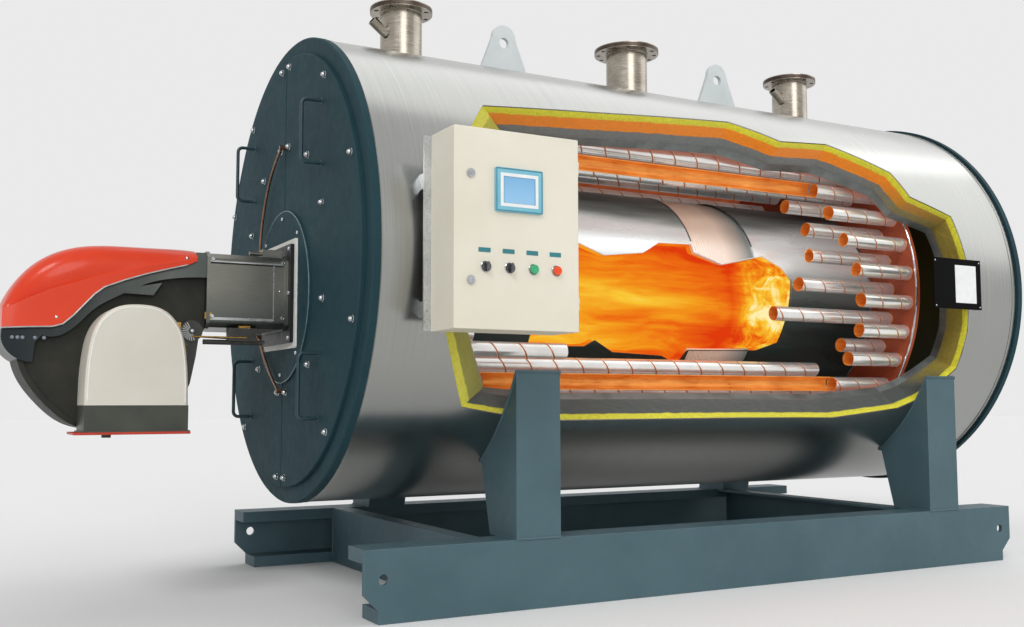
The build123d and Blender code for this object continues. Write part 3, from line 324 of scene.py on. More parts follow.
def rockWool(name, wool):
    # rock wool blanket in two lays: the outer lay is lemon yellow, the inner one is orange above the furnace,
    # painted light of the flame, over a grey felt backing, olive beside it and darker grey toward the bottom;
    # strands are drawn coarse to show
    material, add, place = newMaterial(name)
    centred, radius = barrelRadius(add, place)
    strands = add("TexNoise", {
        "Vector": place, "Scale": 1000 / wool["strandMm"], "Detail": 8.0, "Roughness": 0.7, "Distortion": 1.4})
    tufts = add("TexNoise", (place, 1000 / wool["tuftMm"], 4.0))
    shaken = add("Math", (tufts, 0.014, -0.007), operation="MULTIPLY_ADD")
    edge = add("Math", (radius, shaken), operation="ADD")
    height = add("SeparateXYZ", (centred,)).outputs["Z"]
    outer, flameLitOrange, olive, lowLayTone, felt = (
        add("ValToRGB", (strands,), [(0.3, wool[lay + "Shade"]), (0.62 if lay == "outer" else 0.65, wool[lay])])
        for lay in ("outer", "flameLit", "cool", "lowLay", "felt"))
    settled = add("MapRange", (height, -0.42, -0.52))
    lower = add("Mix", (settled, olive, lowLayTone))
    backed = add("MapRange", (edge, wool["backing"] - 0.002, wool["backing"] + 0.002))
    flameLitLay = add("Mix", (backed, felt, flameLitOrange))
    # the orange above the furnace is painted light of the flame
    glowShare = add("MapRange", (height, 0.32, 0.56))
    inner = add("Mix", (glowShare, lower, flameLitLay))
    lay = add("MapRange", (edge, wool["split"] - 0.003, wool["split"] + 0.003))
    colour = add("Mix", (lay, inner, outer))
    bump = add("Bump", {"Height": strands, "Strength": 0.8, "Distance": 0.004})
    return closeMaterial(material, add, {
        "Base Color": colour, "Roughness": 0.9, "Normal": bump, "Sheen Weight": 0.25})


woolMaterial = rockWool("rockWoolTwoLay", {
    "outer": "#EAE636", "outerShade": "#B2A91E", "flameLit": "#FF960E", "flameLitShade": "#E0760A",
    "cool": "#A08F26", "coolShade": "#6A5A1A", "lowLay": "#4B5350", "lowLayShade": "#333A38",
    "felt": "#7E8381", "feltShade": "#636866", "split": claddingRadius - 0.036,
    "backing": claddingRadius - 0.093, "strandMm": 9, "tuftMm": 70})
slantWool = rockWool("rockWoolSlantedCut", {
    "outer": "#E4E034", "outerShade": "#AFA71E", "flameLit": "#C4BC24", "flameLitShade": "#8E8818",
    "cool": "#A09C1E", "coolShade": "#6C6A14", "lowLay": "#A09C1E", "lowLayShade": "#6C6A14",
    "felt": "#C4BC24", "feltShade": "#8E8818", "split": claddingRadius - 0.052,
    "backing": claddingRadius - 0.2, "strandMm": 9, "tuftMm": 70})


def heatedPlate(name, plate):
    # rolled steel plate of the pressure parts: mill scale outside; where the radius is less than the bore's a
    # warm orange-brown tint, part heat tint and part painted light of the flame, which also glows as painted
    # light;
    # soot behind the rear tube plate; the cut edge stays grey
    material, add, place = newMaterial(name)
    radius = barrelRadius(add, place)[1]
    bore = add("MapRange", (radius, plate["bore"] + 0.0016, plate["bore"] + 0.0006))
    along = add("SeparateXYZ", (place,)).outputs["X"]
    behind = add("MapRange", (along, plate["sootFrom"], plate["sootFrom"] + 0.03))
    scale = add("TexNoise", (place, 1000 / plate["scaleMm"], 5.0, 0.6))
    steel = add("ValToRGB", (scale,), [(0.3, plate["shade"]), (0.7, plate["colour"])])
    heatTintAndGlow = add("ValToRGB", (scale,), [(0.3, plate["warmShade"]), (0.7, plate["warm"])])
    inside = add("Mix", (behind, heatTintAndGlow, plate["soot"]))
    colour = add("Mix", (bore, steel, inside))
    metal = add("MapRange", {"Value": bore, "To Min": 0.7, "To Max": 0.1})
    rough = add("MapRange", (scale, 0.3, 0.7, 0.42, 0.6))
    bump = add("Bump", {"Height": scale, "Strength": 0.3, "Distance": 0.0008})
    # the warm tint glows in front of the rear tube plate: painted light of the flame
    cold = add("Math", (1.0, behind), operation="SUBTRACT")
    glow = add("Math", (bore, cold), operation="MULTIPLY")
    strength = add("Math", (glow, plate["glow"]), operation="MULTIPLY")
    return closeMaterial(material, add, {
        "Base Color": colour, "Roughness": rough, "Metallic": metal, "Normal": bump,
        "Emission Color": heatTintAndGlow, "Emission Strength": strength})


shellSteel = heatedPlate("shellPlateMillScale", {
    "colour": "#8A908F", "shade": "#666D6D", "warm": "#C4693A", "warmShade": "#9C4E2A", "soot": "#060808",
    "bore": shellBore, "sootFrom": share(0.86), "scaleMm": 90, "glow": 0.3})


def highlightBandPlate(name, plate):
    # rolled plate with painted light: a painted highlight band above the flame, which also glows, and painted
    # shade along its top and lower half
    material, add, place = newMaterial(name)
    laid = add("Mapping", {
        "Vector": place, "Scale": (1000 / plate["rollMm"], 1000 / plate["driftMm"], 1000 / plate["driftMm"])})
    drift = add("TexNoise", (laid, 1.0, 4.0))
    stirred = add("Math", (drift, 0.16, -0.08), operation="MULTIPLY_ADD")
    level = add("Math", (add("SeparateXYZ", (place,)).outputs["Z"], stirred), operation="ADD")
    height = add("MapRange", (level, plate["bottom"], plate["top"]))
    # the zones by height are painted light: pale zones paint a highlight and dark zones paint shade; the
    # emission that makes the plate glow is painted light too
    zones = ((0.0, "dark"), (0.42, "dark"), (0.57, "shade"), (0.67, "colour"), (0.79, "colour"),
             (0.86, "shade"), (0.93, "dark"))
    tone = add("ValToRGB", (height,), [(part, plate[zone]) for part, zone in zones])
    rough = add("MapRange", (drift, 0.3, 0.7, 0.22, 0.34))
    bump = add("Bump", {"Height": drift, "Strength": 0.15, "Distance": 0.001})
    return closeMaterial(material, add, {
        "Base Color": tone, "Roughness": rough, "Metallic": 0.6, "Normal": bump,
        "Emission Color": tone, "Emission Strength": plate["lit"]})


furnaceSteel = highlightBandPlate("furnacePlatePaintedHighlight", {
    "colour": "#E9ECEC", "shade": "#858D8B", "dark": "#262F2D", "rollMm": 900, "driftMm": 160,
    "bottom": axisZ - 0.58, "top": axisZ + 0.50, "lit": 0.16})


def spiralTube(name, tube):
    # polished tube with a rolled spiral groove; u runs along the tube in metres, v is one turn round it
    material, add, place = newMaterial(name)
    unrolled = add("SeparateXYZ", (add("UVMap", uv_map="tubeUv"),))
    turns = add("Math", (unrolled, 1000 / tube["pitchMm"]), operation="MULTIPLY")
    wound = add("Math", (turns, unrolled.outputs["Y"]), operation="SUBTRACT")
    part = add("Math", (wound,), operation="FRACT")
    off = add("Math", (part, 0.5), operation="SUBTRACT")
    away = add("Math", (off,), operation="ABSOLUTE")
    half = tube["grooveMm"] / tube["pitchMm"] / 2
    groove = add("MapRange", (away, half * 1.5, half * 0.7))
    drift = add("TexNoise", (place, 1000 / tube["driftMm"], 4.0))
    tone = add("ValToRGB", (drift,), [(0.3, tube["shade"]), (0.6, tube["colour"])])
    colour = add("Mix", (groove, tone, tube["grooveColour"]))
    rough = add("MapRange", {"Value": groove, "To Min": tube["rough"], "To Max": 0.55})
    sunk = add("Math", (1.0, groove), operation="SUBTRACT")
    bump = add("Bump", {"Height": sunk, "Strength": 0.9, "Distance": 0.002})
    return closeMaterial(material, add, {
        "Base Color": colour, "Roughness": rough, "Normal": bump, "Metallic": 0.86,
        "Emission Color": colour, "Emission Strength": tube["lit"]})


# the tube's glow is painted light
tubeSteel = spiralTube("fireTubeRolledPolished", {
    "colour": "#EFEDEA", "shade": "#D6D4D0", "grooveColour": "#C9752E", "pitchMm": 138, "grooveMm": 7,
    "driftMm": 260, "rough": 0.24, "lit": 0.08})


def flameGlow(name, flame):
    # burning gas gives its own light, in long streaks that run with the draught; it is yellow along the middle,
    # deep red at the furnace's last seam, and breaks into pale patches where it beats on the rear section
    material, add, place = newMaterial(name)
    drawn = add("Mapping", {"Vector": place, "Scale": (0.7, 8.5, 8.5)})
    streak = add("TexNoise", {
        "Vector": drawn, "Scale": 1.0, "Detail": 8.0, "Roughness": 0.6, "Distortion": 0.35})
    split = add("SeparateXYZ", (place,))
    length = add("MapRange", (split, share(0.15), share(0.72)))
    zones = add("ValToRGB", (length,), [
        (0.0, 0.50), (0.45, 0.50), (0.70, 0.36), (0.81, 0.18), (0.83, 0.08), (0.87, 0.34), (0.91, 0.66),
        (0.96, 0.66), (1.0, 0.5)])
    patches = add("TexNoise", {
        "Vector": place, "Scale": 1000 / flame["patchMm"], "Detail": 5.0, "Roughness": 0.65, "Distortion": 0.8})
    late = add("MapRange", (length, 0.84, 0.9, 0.0, 1.9))
    centredPatch = add("Math", (patches, 0.5), operation="SUBTRACT")
    blown = add("Math", (centredPatch, late), operation="MULTIPLY")
    off = add("Math", (split.outputs["Z"], flame["middle"]), operation="SUBTRACT")
    away = add("Math", (off,), operation="ABSOLUTE")
    belt = add("MapRange", (away, 0.0, 0.36, 0.12, -0.2))
    stirred = add("Math", (streak, 1.15, -0.575), operation="MULTIPLY_ADD")
    patchy = add("Math", (zones, blown), operation="ADD")
    warm = add("Math", (patchy, belt), operation="ADD")
    glowShare = add("Math", (warm, stirred), operation="ADD")
    colour = add("ValToRGB", (glowShare,), [
        (0.10, flame["deep"]), (0.32, flame["orange"]), (0.52, flame["amber"]), (0.72, flame["yellow"]),
        (0.92, flame["pale"])])
    lumps = add("Bump", {"Height": streak, "Strength": 0.3, "Distance": 0.02})
    return closeMaterial(material, add, {
        "Base Color": "#1A0A04", "Roughness": 0.9, "Normal": lumps, "Specular IOR Level": 0.0,
        "Emission Color": colour, "Emission Strength": flame["strength"]})


flameMaterial = flameGlow("flameGasGlow", {
    "deep": "#DE3A0C", "orange": "#EC6A12", "amber": "#F39A1C", "yellow": "#F9C938", "pale": "#FFF0B0",
    "middle": axisZ - 0.12, "strength": 1.0, "patchMm": 110})


def ridgedPlate(name, plate):
    # rolled and annealed plate: a flesh-coloured bloom, turned grey toward the rear shoulder by painted shade
    material, add, place = newMaterial(name)
    drift = add("TexNoise", (place, 1000 / plate["driftMm"], 4.0))
    grey = add("MapRange", (add("SeparateXYZ", (place,)), share(0.585), share(0.632)))
    tone = add("ValToRGB", (drift,), [(0.3, plate["shade"]), (0.7, plate["colour"])])
    # the cold grey at the rear shoulder is painted shade
    colour = add("Mix", (grey, tone, plate["cold"]))
    rough = add("MapRange", (drift, 0.3, 0.7, 0.28, 0.42))
    bump = add("Bump", {"Height": drift, "Strength": 0.2, "Distance": 0.001})
    return closeMaterial(material, add, {
        "Base Color": colour, "Roughness": rough, "Metallic": 0.2, "Normal": bump})


corrugatedSteel = ridgedPlate("furnacePlateRidged", {
    "colour": "#FAE6D8", "shade": "#EFCFB8", "cold": "#8A918F", "driftMm": 240})


def displayGlass(name, display):
    # lit display behind hard-coated glass: an even pale blue that deepens a little toward the top
    material, add, place = newMaterial(name)
    height = add("MapRange", (add("SeparateXYZ", (place,)).outputs["Z"], display["bottom"], display["top"]))
    smear = add("TexNoise", (place, 1000 / display["smearMm"], 4.0))
    tone = add("ValToRGB", (height,), [(0.0, display["low"]), (1.0, display["high"])])
    rough = add("MapRange", {"Value": smear, "To Min": 0.05, "To Max": 0.22})
    bump = add("Bump", {"Height": smear, "Strength": 0.05, "Distance": 0.0002})
    return closeMaterial(material, add, {
        "Base Color": tone, "Emission Color": tone, "Emission Strength": 0.08,
        "Roughness": rough, "Normal": bump, "IOR": 1.52})


def studioPaper(name, paper):
    # matt studio paper: the faint grain only breaks up the shade under the object
    material, add, place = newMaterial(name)
    grain = add("TexNoise", (place, 1000 / paper["grainMm"], 2.0))
    bump = add("Bump", {"Height": grain, "Strength": 0.02, "Distance": 0.0002})
    return closeMaterial(material, add, {
        "Base Color": paper["colour"], "Roughness": 0.95, "Normal": bump, "Specular IOR Level": 0.1})


nodeFinish = (
    (skidEnamel, ("skid_rails", "cross_members", "saddle_legs")),
    (claddingSteel, ("cladding",)), (shellSteel, ("pressure_shell",)),
    (tubePlateOxide, ("tube_plate_front", "tube_plate_rear")),
    (furnaceSteel, ("furnace_front", "furnace_rear")), (corrugatedSteel, ("furnace_corrugated",)),
    (doorEnamel, ("rear_cover", "front_plate", "door_half_near", "door_half_far", "burner_boss")),
    (gasketFibre, ("burner_gasket",)), (burnerBlack, ("burner_plate",)),
    (handleSteel, ("door_handles",)), (copperPipe, ("impulse_pipes",)),
    (nozzleSteel, ("nozzle_front", "nozzle_middle", "nozzle_rear")), (lugPaint, ("lifting_lugs",)),
    (cabinetEnamel, ("cabinet_box", "cabinet_door")), (bracketZinc, ("cabinet_bracket",)),
    (bezelTeal, ("touch_screen",)), (knobSteel, ("selector_left", "selector_right")),
    (buttonGreen, ("button_green",)), (buttonRed, ("button_red",)),
    (chromeTurned, ("lock_upper", "lock_lower")), (ductAluminium, ("burner_duct",)),
    (hoodGelcoat, ("burner_hood",)), (castAluminium, ("burner_frame",)),
    (housingBlack, ("fan_housing",)), (intakeBeige, ("air_intake_box",)), (intakeDark, ("air_intake_base",)),
    (linkageSteel, ("burner_linkage",)), (plateAcrylic, ("nameplate",)))
for finish, nodeNames in nodeFinish:
    for nodeName in nodeNames:
        nodes[nodeName].data.materials.clear()
        nodes[nodeName].data.materials.append(finish)
print("CAD nodes finished:", sum(len(nodeNames) for finish, nodeNames in nodeFinish))


def gridMesh(grids, flat=False):
    # each grid is rows x columns of points, alone or with its slot and uv; a cell becomes one four-sided face
    verts, faces, uvs, slots = [], [], [], []
    base = 0
    for grid in grids:
        grid = grid if isinstance(grid, dict) else {"points": grid}
        points = grid["points"]
        rows, cols = points.shape[:2]
        index = base + np.arange(rows * cols).reshape(rows, cols)
        quads = np.stack([index[:-1, :-1], index[:-1, 1:], index[1:, 1:], index[1:, :-1]], -1).reshape(-1, 4)
        uv = grid.get("uv")
        if uv is None:
            uv = np.stack(np.meshgrid(np.linspace(0, 1, rows), np.linspace(0, 1, cols), indexing="ij"), -1)
        verts.append(points.reshape(-1, 3))
        faces.append(quads)
        uvs.append(uv.reshape(-1, 2))
        slots.append(np.full(len(quads), grid.get("slot", 0)))
        base += rows * cols
    verts, faces, uvs, slots = (np.concatenate(part) for part in (verts, faces, uvs, slots))
    mesh = bpy.data.meshes.new("grid")
    mesh.vertices.add(len(verts))
    mesh.vertices.foreach_set("co", verts.astype(np.float32).ravel())
    mesh.loops.add(faces.size)
    mesh.loops.foreach_set("vertex_index", faces.astype(np.int32).ravel())
    mesh.polygons.add(len(faces))
    mesh.polygons.foreach_set("loop_start", np.arange(0, faces.size, 4, dtype=np.int32))
    mesh.update(calc_edges=True)
    layer = mesh.uv_layers.new(name="tubeUv")
    layer.data.foreach_set("uv", uvs[faces.ravel()].astype(np.float32).ravel())
    mesh.polygons.foreach_set("material_index", slots.astype(np.int32))
    mesh.polygons.foreach_set("use_smooth", np.full(len(faces), not flat))
    return mesh


def addPiece(name, grids, materials, slot, body="boiler", replaces=(), bevelMm=0.0, flat=False, sharpAngle=40):
    # the seams between grids are merged and the faces turned outwards before the piece is handed to the frame
    mesh = gridMesh(grids, flat)
    work = bmesh.new()
    work.from_mesh(mesh)
    bmesh.ops.remove_doubles(work, verts=work.verts, dist=1e-6)
    bmesh.ops.dissolve_degenerate(work, edges=work.edges, dist=1e-7)
    bmesh.ops.recalc_face_normals(work, faces=work.faces)
    work.to_mesh(mesh)
    work.free()
    mesh.name = name
    piece = bpy.data.objects.new(name, mesh)
    bpy.context.scene.collection.objects.link(piece)
    for material in materials:
        mesh.materials.append(material)
    mesh.set_sharp_from_angle(angle=math.radians(sharpAngle))
    if bevelMm:
        bevel = piece.modifiers.new("edges", "BEVEL")
        bevel.width = bevelMm / 1000
        bevel.segments = 2
        bevel.limit_method = "ANGLE"
        bevel.harden_normals = True
    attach(piece, body)
    if replaces:
        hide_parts(*replaces)
    return piece


def turned(profile, count, start=0.0):
    # a profile of (radius, height) pairs turned round +Z: x = r cos t, y = r sin t, z = h
    r, h = np.array(profile, float).T
    t = np.linspace(0, fullTurn, count + 1) + start
    return np.stack([r[:, None] * np.cos(t), r[:, None] * np.sin(t), np.repeat(h[:, None], count + 1, 1)], -1)


def head(radius, edge, top, height):
    # the profile of a bolt's head: straight sides up to the edge, then a cut corner in to the top
    return [(0, 0), (radius, 0), (radius, edge), (top, height), (0, height)]


def toward(axis):
    # the three columns that turn +Z to the axis
    z = np.array(axis, float)
    z /= np.linalg.norm(z)
    side = np.array((0.0, 0.0, 1.0)) if abs(z[2]) < 0.9 else np.array((1.0, 0.0, 0.0))
    x = np.cross(side, z)
    x /= np.linalg.norm(x)
    return np.stack([x, np.cross(z, x), z], 1)


def copies(shape, places, axis):
    # the same shape at every place, turned so that its +Z is the axis
    return [shape @ toward(axis).T + np.array(place, float) for place in places]


def block(low, high, chamfer):
    # a closed box as a turned square: bottom centre, bottom rim, top rim, top centre, with cut edges
    low, high = np.array(low, float), np.array(high, float)
    mid, half = (low + high) / 2, (high - low) / 2
    c = min(chamfer, *(0.45 * half))
    square = np.array(((-1.0, -1), (1, -1), (1, 1), (-1, 1), (-1, -1)))
    cut = c / half[2]
    steps = (-1, half[:2]), (-1, c), (cut - 1, 0.0), (1 - cut, 0.0), (1, c), (1, half[:2])
    rings = [np.insert(square * (half[:2] - inset), 2, level * half[2], 1) for level, inset in steps]
    return np.stack(rings) + mid


def travelled(points):
    # the length along a path at each of its points
    return np.concatenate([[0], np.cumsum(np.linalg.norm(np.diff(points, axis=0), axis=1))])


def bead(path, radius, ripple=0.0, pitch=0.01, count=8, step=0.004, closed=False):
    # a round bead carried along a path: its radius swells and shrinks once for every weld pool
    path = np.array(path, float)
    if closed:
        path = np.concatenate([path, path[:1]])
    length = travelled(path)
    marks = np.linspace(0, length[-1], max(3, int(length[-1] / step) + 1))
    points = np.stack([np.interp(marks, length, path[:, i]) for i in range(3)], 1)
    heading = np.gradient(points, axis=0)
    if closed:
        heading[0] = heading[-1] = points[1] - points[-2]
    heading /= np.linalg.norm(heading, axis=1, keepdims=True)
    side = np.cross(heading, np.array((0.31, 0.17, 0.93)))
    side /= np.linalg.norm(side, axis=1, keepdims=True)
    up = np.cross(side, heading)
    t = np.linspace(0, fullTurn, count + 1)
    swell = radius * (1 + ripple * np.sin(fullTurn * marks / pitch))
    if not closed:
        swell[0] = swell[-1] = 0.0
    ring = side[:, None] * np.cos(t)[None, :, None] + up[:, None] * np.sin(t)[None, :, None]
    return points[:, None] + ring * swell[:, None, None]


def across(x, radius, angle, centreZ):
    # points (x, -r cos a, centre + r sin a) round the barrel, the angle measured up from the cutaway side
    return np.stack(np.broadcast_arrays(x, -radius * np.cos(angle), centreZ + radius * np.sin(angle)), -1)


def arcPath(x, radius, centreZ, low=0, high=357):
    # an arc round the barrel, a point every 3 degrees
    return across(x, radius, np.radians(np.arange(low, high + 1.5, 3.0)), centreZ)


def smoothNoise(rows, cols, reach):
    # white noise blurred in the frequency domain by a bell curve, so that it joins up at its ends
    raw = np.fft.fft2(rng.normal(size=(rows, cols)))
    fy = np.fft.fftfreq(rows)[:, None] * reach
    fx = np.fft.fftfreq(cols)[None] * reach * 0.5
    soft = np.fft.ifft2(raw * np.exp(-(fy ** 2 + fx ** 2) * 2)).real
    return (soft - soft.min()) / (np.ptp(soft) + 1e-9)


# the window's torn outline: share of the body's length, angle above the near side in degrees
windowCorners = np.array([
    (0.1585, 38.4), (0.3295, 42.8), (0.5500, 48.6), (0.5940, 44.7), (0.6205, 41.8), (0.7118, 43.9),
    (0.8038, 34.4), (0.8186, 25.7), (0.8893, 20.5), (0.8984, 7.4), (0.8995, -7.1), (0.9025, -13.4),
    (0.8984, -24.3), (0.8415, -34.8), (0.8139, -37.5), (0.7003, -40.7), (0.5361, -40.4), (0.2658, -40.6),
    (0.1858, -38.7), (0.1292, -36.5), (0.0902, -18.7), (0.1093, 5.0), (0.1309, 29.9)])
wool = {"stepMetres": 0.011, "columns": 13, "lumpMetres": 0.009, "backMetres": 0.004}


def windowPath(corners, rows=None):
    # along each side of the window the length and the tangent of the angle change evenly
    corners = np.stack([share(corners[:, 0]), np.tan(np.radians(corners[:, 1]))], 1)
    length = travelled(corners * (1, claddingRadius))
    marks = np.linspace(0, length[-1], rows or int(length[-1] / wool["stepMetres"]) + 1)
    return np.interp(marks, length, corners[:, 0]), np.arctan(np.interp(marks, length, corners[:, 1]))


def woolFace():
    # the cut face: boundary point plus a step into the window, which swells between the two lays' edges
    x, angle = windowPath(np.concatenate([windowCorners, windowCorners[:1]]))
    inner, outer = shellRadius + 0.0003, woolRadius
    middle = (inner + outer) / 2
    heading = np.stack([np.gradient(x), np.gradient(angle) * middle], 1)
    heading[0] = heading[-1] = (heading[0] + heading[-1]) / 2
    heading = (np.roll(heading[:-1], 1, 0) + heading[:-1] + np.roll(heading[:-1], -1, 0))
    heading = np.concatenate([heading, heading[:1]])
    heading /= np.linalg.norm(heading, axis=1, keepdims=True)
    inward = np.stack([-heading[:, 1], heading[:, 0]], 1)
    centre = np.array((x.mean(), angle.mean() * middle))
    inward *= np.sign(((centre - np.stack([x, angle * middle], 1)) * inward).sum(1).sum())
    t = np.linspace(0, 1, wool["columns"])
    noise = smoothNoise(len(x) - 1, wool["columns"], 3.0)
    noise = np.concatenate([noise, noise[:1]])
    lump = wool["lumpMetres"] * (0.25 + 0.75 * noise) * np.sin(math.pi * t) ** 0.4
    radii = np.concatenate([inner + (outer - inner) * t, [outer, inner, inner]])
    lift = np.concatenate([lump, np.full((len(x), 2), -wool["backMetres"]), lump[:, :1]], 1)
    turn = angle[:, None] + inward[:, 1:] * lift / radii
    return across(x[:, None] + inward[:, :1] * lift, radii[None], turn, axisZ)


woolEdge = addPiece(
    "rockWoolBlanket", [woolFace()], [woolMaterial], "insulation_wool", replaces=["insulation"])
blanket = bmesh.new()
blanket.from_mesh(nodes["insulation"].data)
bmesh.ops.remove_doubles(blanket, verts=blanket.verts, dist=1e-6)
blanket.from_mesh(woolEdge.data)
blanket.to_mesh(woolEdge.data)
blanket.free()
for face in woolEdge.data.polygons:
    face.material_index = 0

slant = {"corners": (19, 20, 21, 22, 0), "reachMetres": 0.155, "lipMetres": 0.172, "lumpMetres": 0.007,
         "rows": 110, "columns": 14, "backMetres": 0.002}


def slantedEdge():
    # the window's burner end is cut on the slant: x = edge + reach (1 - t) from cladding to shell, plus lumps
    inner, outer = shellRadius + 0.0006, woolRadius - 0.0005
    x, angle = windowPath(windowCorners[list(slant["corners"])], slant["rows"])

    def prism(radii, reach, slot):
        body = across(x[:, None] + reach, radii[None], angle[:, None], axisZ)
        ends = [np.repeat(body[row].mean(0)[None, None], body.shape[1], 1) for row in (0, -1)]
        return {"points": np.concatenate([ends[0], body, ends[1]]), "slot": slot}

    t = np.linspace(1, 0, slant["columns"])
    lumps = smoothNoise(slant["rows"], slant["columns"], 3.0) * np.sin(math.pi * t) ** 0.4
    behind = -slant["backMetres"]
    back = np.full((slant["rows"], 3), behind)
    back[:, 2] = 0.0
    woolReach = np.concatenate([slant["reachMetres"] * (1 - t) + slant["lumpMetres"] * lumps, back], 1)
    woolRadii = np.concatenate([inner + (outer - inner) * t, [inner, outer, outer]])
    lip = np.array((behind, slant["reachMetres"], slant["lipMetres"], behind, behind))
    lipOuter, lipInner = inner - 0.0004, shellBore + 0.0004
    lipRadii = np.array((lipOuter, lipOuter, lipInner, lipInner, lipOuter))
    return [prism(woolRadii, woolReach, 0), prism(lipRadii, np.repeat(lip[None], slant["rows"], 0), 1)]


addPiece("windowSlantedEdge", slantedEdge(), [slantWool, shellSteel], "insulation_wool")
print("insulation done")


tubes = {"radius": 0.037, "wall": 0.004, "around": 22, "tearMetres": 0.012, "weldMetres": 0.0042,
         "outer": {"ring": 0.800, "count": 32, "first": -180 / 32, "piece": "fireTubesOuterRing"},
         "inner": {"ring": 0.670, "count": 27, "first": 0.0, "piece": "fireTubesInnerRing"}}
tubeStart, tubeFinish = (corner[0] for corner in box("fire_tubes_outer")[:2])
# by a tube's angle in degrees, the shares of the body where its front run ends and its rear run starts;
# where both are the same, the front run is cut open along its length
stub = 0.1749
tubeCuts = {
    "outer": {39: (0.7197, 0.7197), 28: (stub, 0.7240), 17: (stub, 0.7350), 6: (stub, 0.7497),
              -6: (stub, 0.7577), -17: (stub, 0.7609), -28: (0.2869, 0.7549), -39: (0.7459, 0.7459)},
    "inner": {40: (stub, 0.6913), 27: (stub, 0.7077), 13: (stub, 0.6995), 0: (stub, 0.6738),
              -13: (stub, 0.6311), -27: (stub, 0.7705), -40: (0.7432, None)},
}


def fireTube(centre, start, finish, halved):
    # y = cy + r cos t, z = cz + r sin t along x; a cut end is torn by a few low waves of t
    low, high = (-math.pi / 2, math.pi / 2) if halved else (0, fullTurn)
    t = np.linspace(low, high, tubes["around"] + 1)
    waves = sum(np.sin(k * t + rng.uniform(0, 6.3)) / k for k in (1, 2, 3, 5)) / 2.2
    torn = tubes["tearMetres"] * (0.5 + 0.5 * waves)
    tornStart = start + (torn if start > tubeStart + 0.01 else 0 * t)
    tornFinish = finish - (torn if finish < tubeFinish - 0.01 else 0 * t)
    outer, bore = tubes["radius"], tubes["radius"] - tubes["wall"]

    def wall(x, radius):
        return np.stack([x, centre[0] + radius * np.cos(t), centre[1] + radius * np.sin(t)], -1)

    grids = []
    corners = [(tornStart, outer), (tornFinish, outer), (tornFinish, bore), (tornStart, bore)]
    for slot, pair in zip((0, 1, 1, 1), zip(corners, corners[1:] + corners[:1])):
        points = np.stack([wall(x, radius) for x, radius in pair])
        uv = np.stack([points[..., 0], np.broadcast_to(t / fullTurn, points.shape[:2])], -1)
        grids.append({"points": points, "uv": uv, "slot": slot})
    for end in (0, -1) if halved else ():
        edge = [[wall(x, radius)[end] for radius in (outer, bore)] for x in (tornStart, tornFinish)]
        grids.append({"points": np.array(edge), "slot": 1})
    return grids


tubeWelds = []
weldTurn = np.linspace(0, fullTurn, 7)
weldShape = tubes["weldMetres"] * np.stack([np.cos(weldTurn), np.sin(weldTurn)], 1)
weldRing = turned(weldShape + (tubes["radius"], 0), 16)
for ringName, cuts in tubeCuts.items():
    lay = tubes[ringName]
    ring = []
    for index in range(lay["count"]):
        angle = (lay["first"] + index * 360 / lay["count"] + 180) % 360 - 180
        centre = across(0, lay["ring"], math.radians(angle), axisZ)[1:]
        runs = [(tubeStart, tubeFinish, False)]
        if round(angle) in cuts:
            end, begin = cuts[round(angle)]
            runs = [(tubeStart, share(end), end == begin)]
            runs += [(share(begin), tubeFinish, False)] if begin else []
        for start, finish, halved in runs:
            ring += fireTube(centre, start, finish, halved)
            ends = [x for x, plate in ((start, tubeStart), (finish, tubeFinish)) if x == plate and not halved]
            tubeWelds += copies(weldRing, [(x, *centre) for x in ends], (1, 0, 0))
    addPiece(lay["piece"], ring, [tubeSteel, tubeBore], "tube_steel", replaces=["fire_tubes_" + ringName])
addPiece("tubeEndWelds", tubeWelds, [copperWeld], "tube_plate_steel")
print("fire tubes done")


furnace = {"radius": 0.540, "wall": 0.016, "drop": 0.040, "start": 0.2700, "finish": 0.7010}
furnaceZ = axisZ - furnace["drop"]
tubeSheetFront = box("tube_plate_front")[1][0]
tubeSheetRear = box("tube_plate_rear")[0][0]
# the furnace's torn opening: share of the body's length, sine of the angle above the near side
opening = np.array([
    (0.2732, 0.300), (0.3426, 0.354), (0.3779, 0.257), (0.4410, 0.307), (0.4721, 0.419), (0.5290, 0.431),
    (0.5290, 0.356), (0.5727, 0.252), (0.6511, 0.367), (0.6833, 0.261), (0.6984, 0.137), (0.6934, -0.113),
    (0.6847, -0.459), (0.6478, -0.544), (0.5284, -0.559), (0.5205, -0.694), (0.4872, -0.615), (0.4049, -0.593),
    (0.3721, -0.496), (0.3593, -0.550), (0.2732, -0.563)])
openingEnds = np.array([(furnace["start"], 0.0)]), np.array([(furnace["finish"], 0.0)])
edgeTop = np.concatenate([openingEnds[0], opening[:11], openingEnds[1]])
edgeTop[6:8, 0] += (-0.0002, 0.0002)        # the upright step at the seam leans a little
edgeBottom = np.concatenate([openingEnds[0], opening[:10:-1], openingEnds[1]])
plateWeld = {"ripple": 0.12, "closed": True}


def openingPath(radius):
    # the torn edge: straight in length and height, its depth follows the tube's round
    corners = np.concatenate([opening, opening[:1]])
    part = np.linspace(0, 1, 9)[:-1]
    fine = np.concatenate([a + (b - a) * part[:, None] for a, b in zip(corners[:-1], corners[1:])])
    rise = fine[:, 1] * furnace["radius"]
    return np.stack([share(fine[:, 0]), -np.sqrt(radius ** 2 - rise ** 2), furnaceZ + rise], 1)


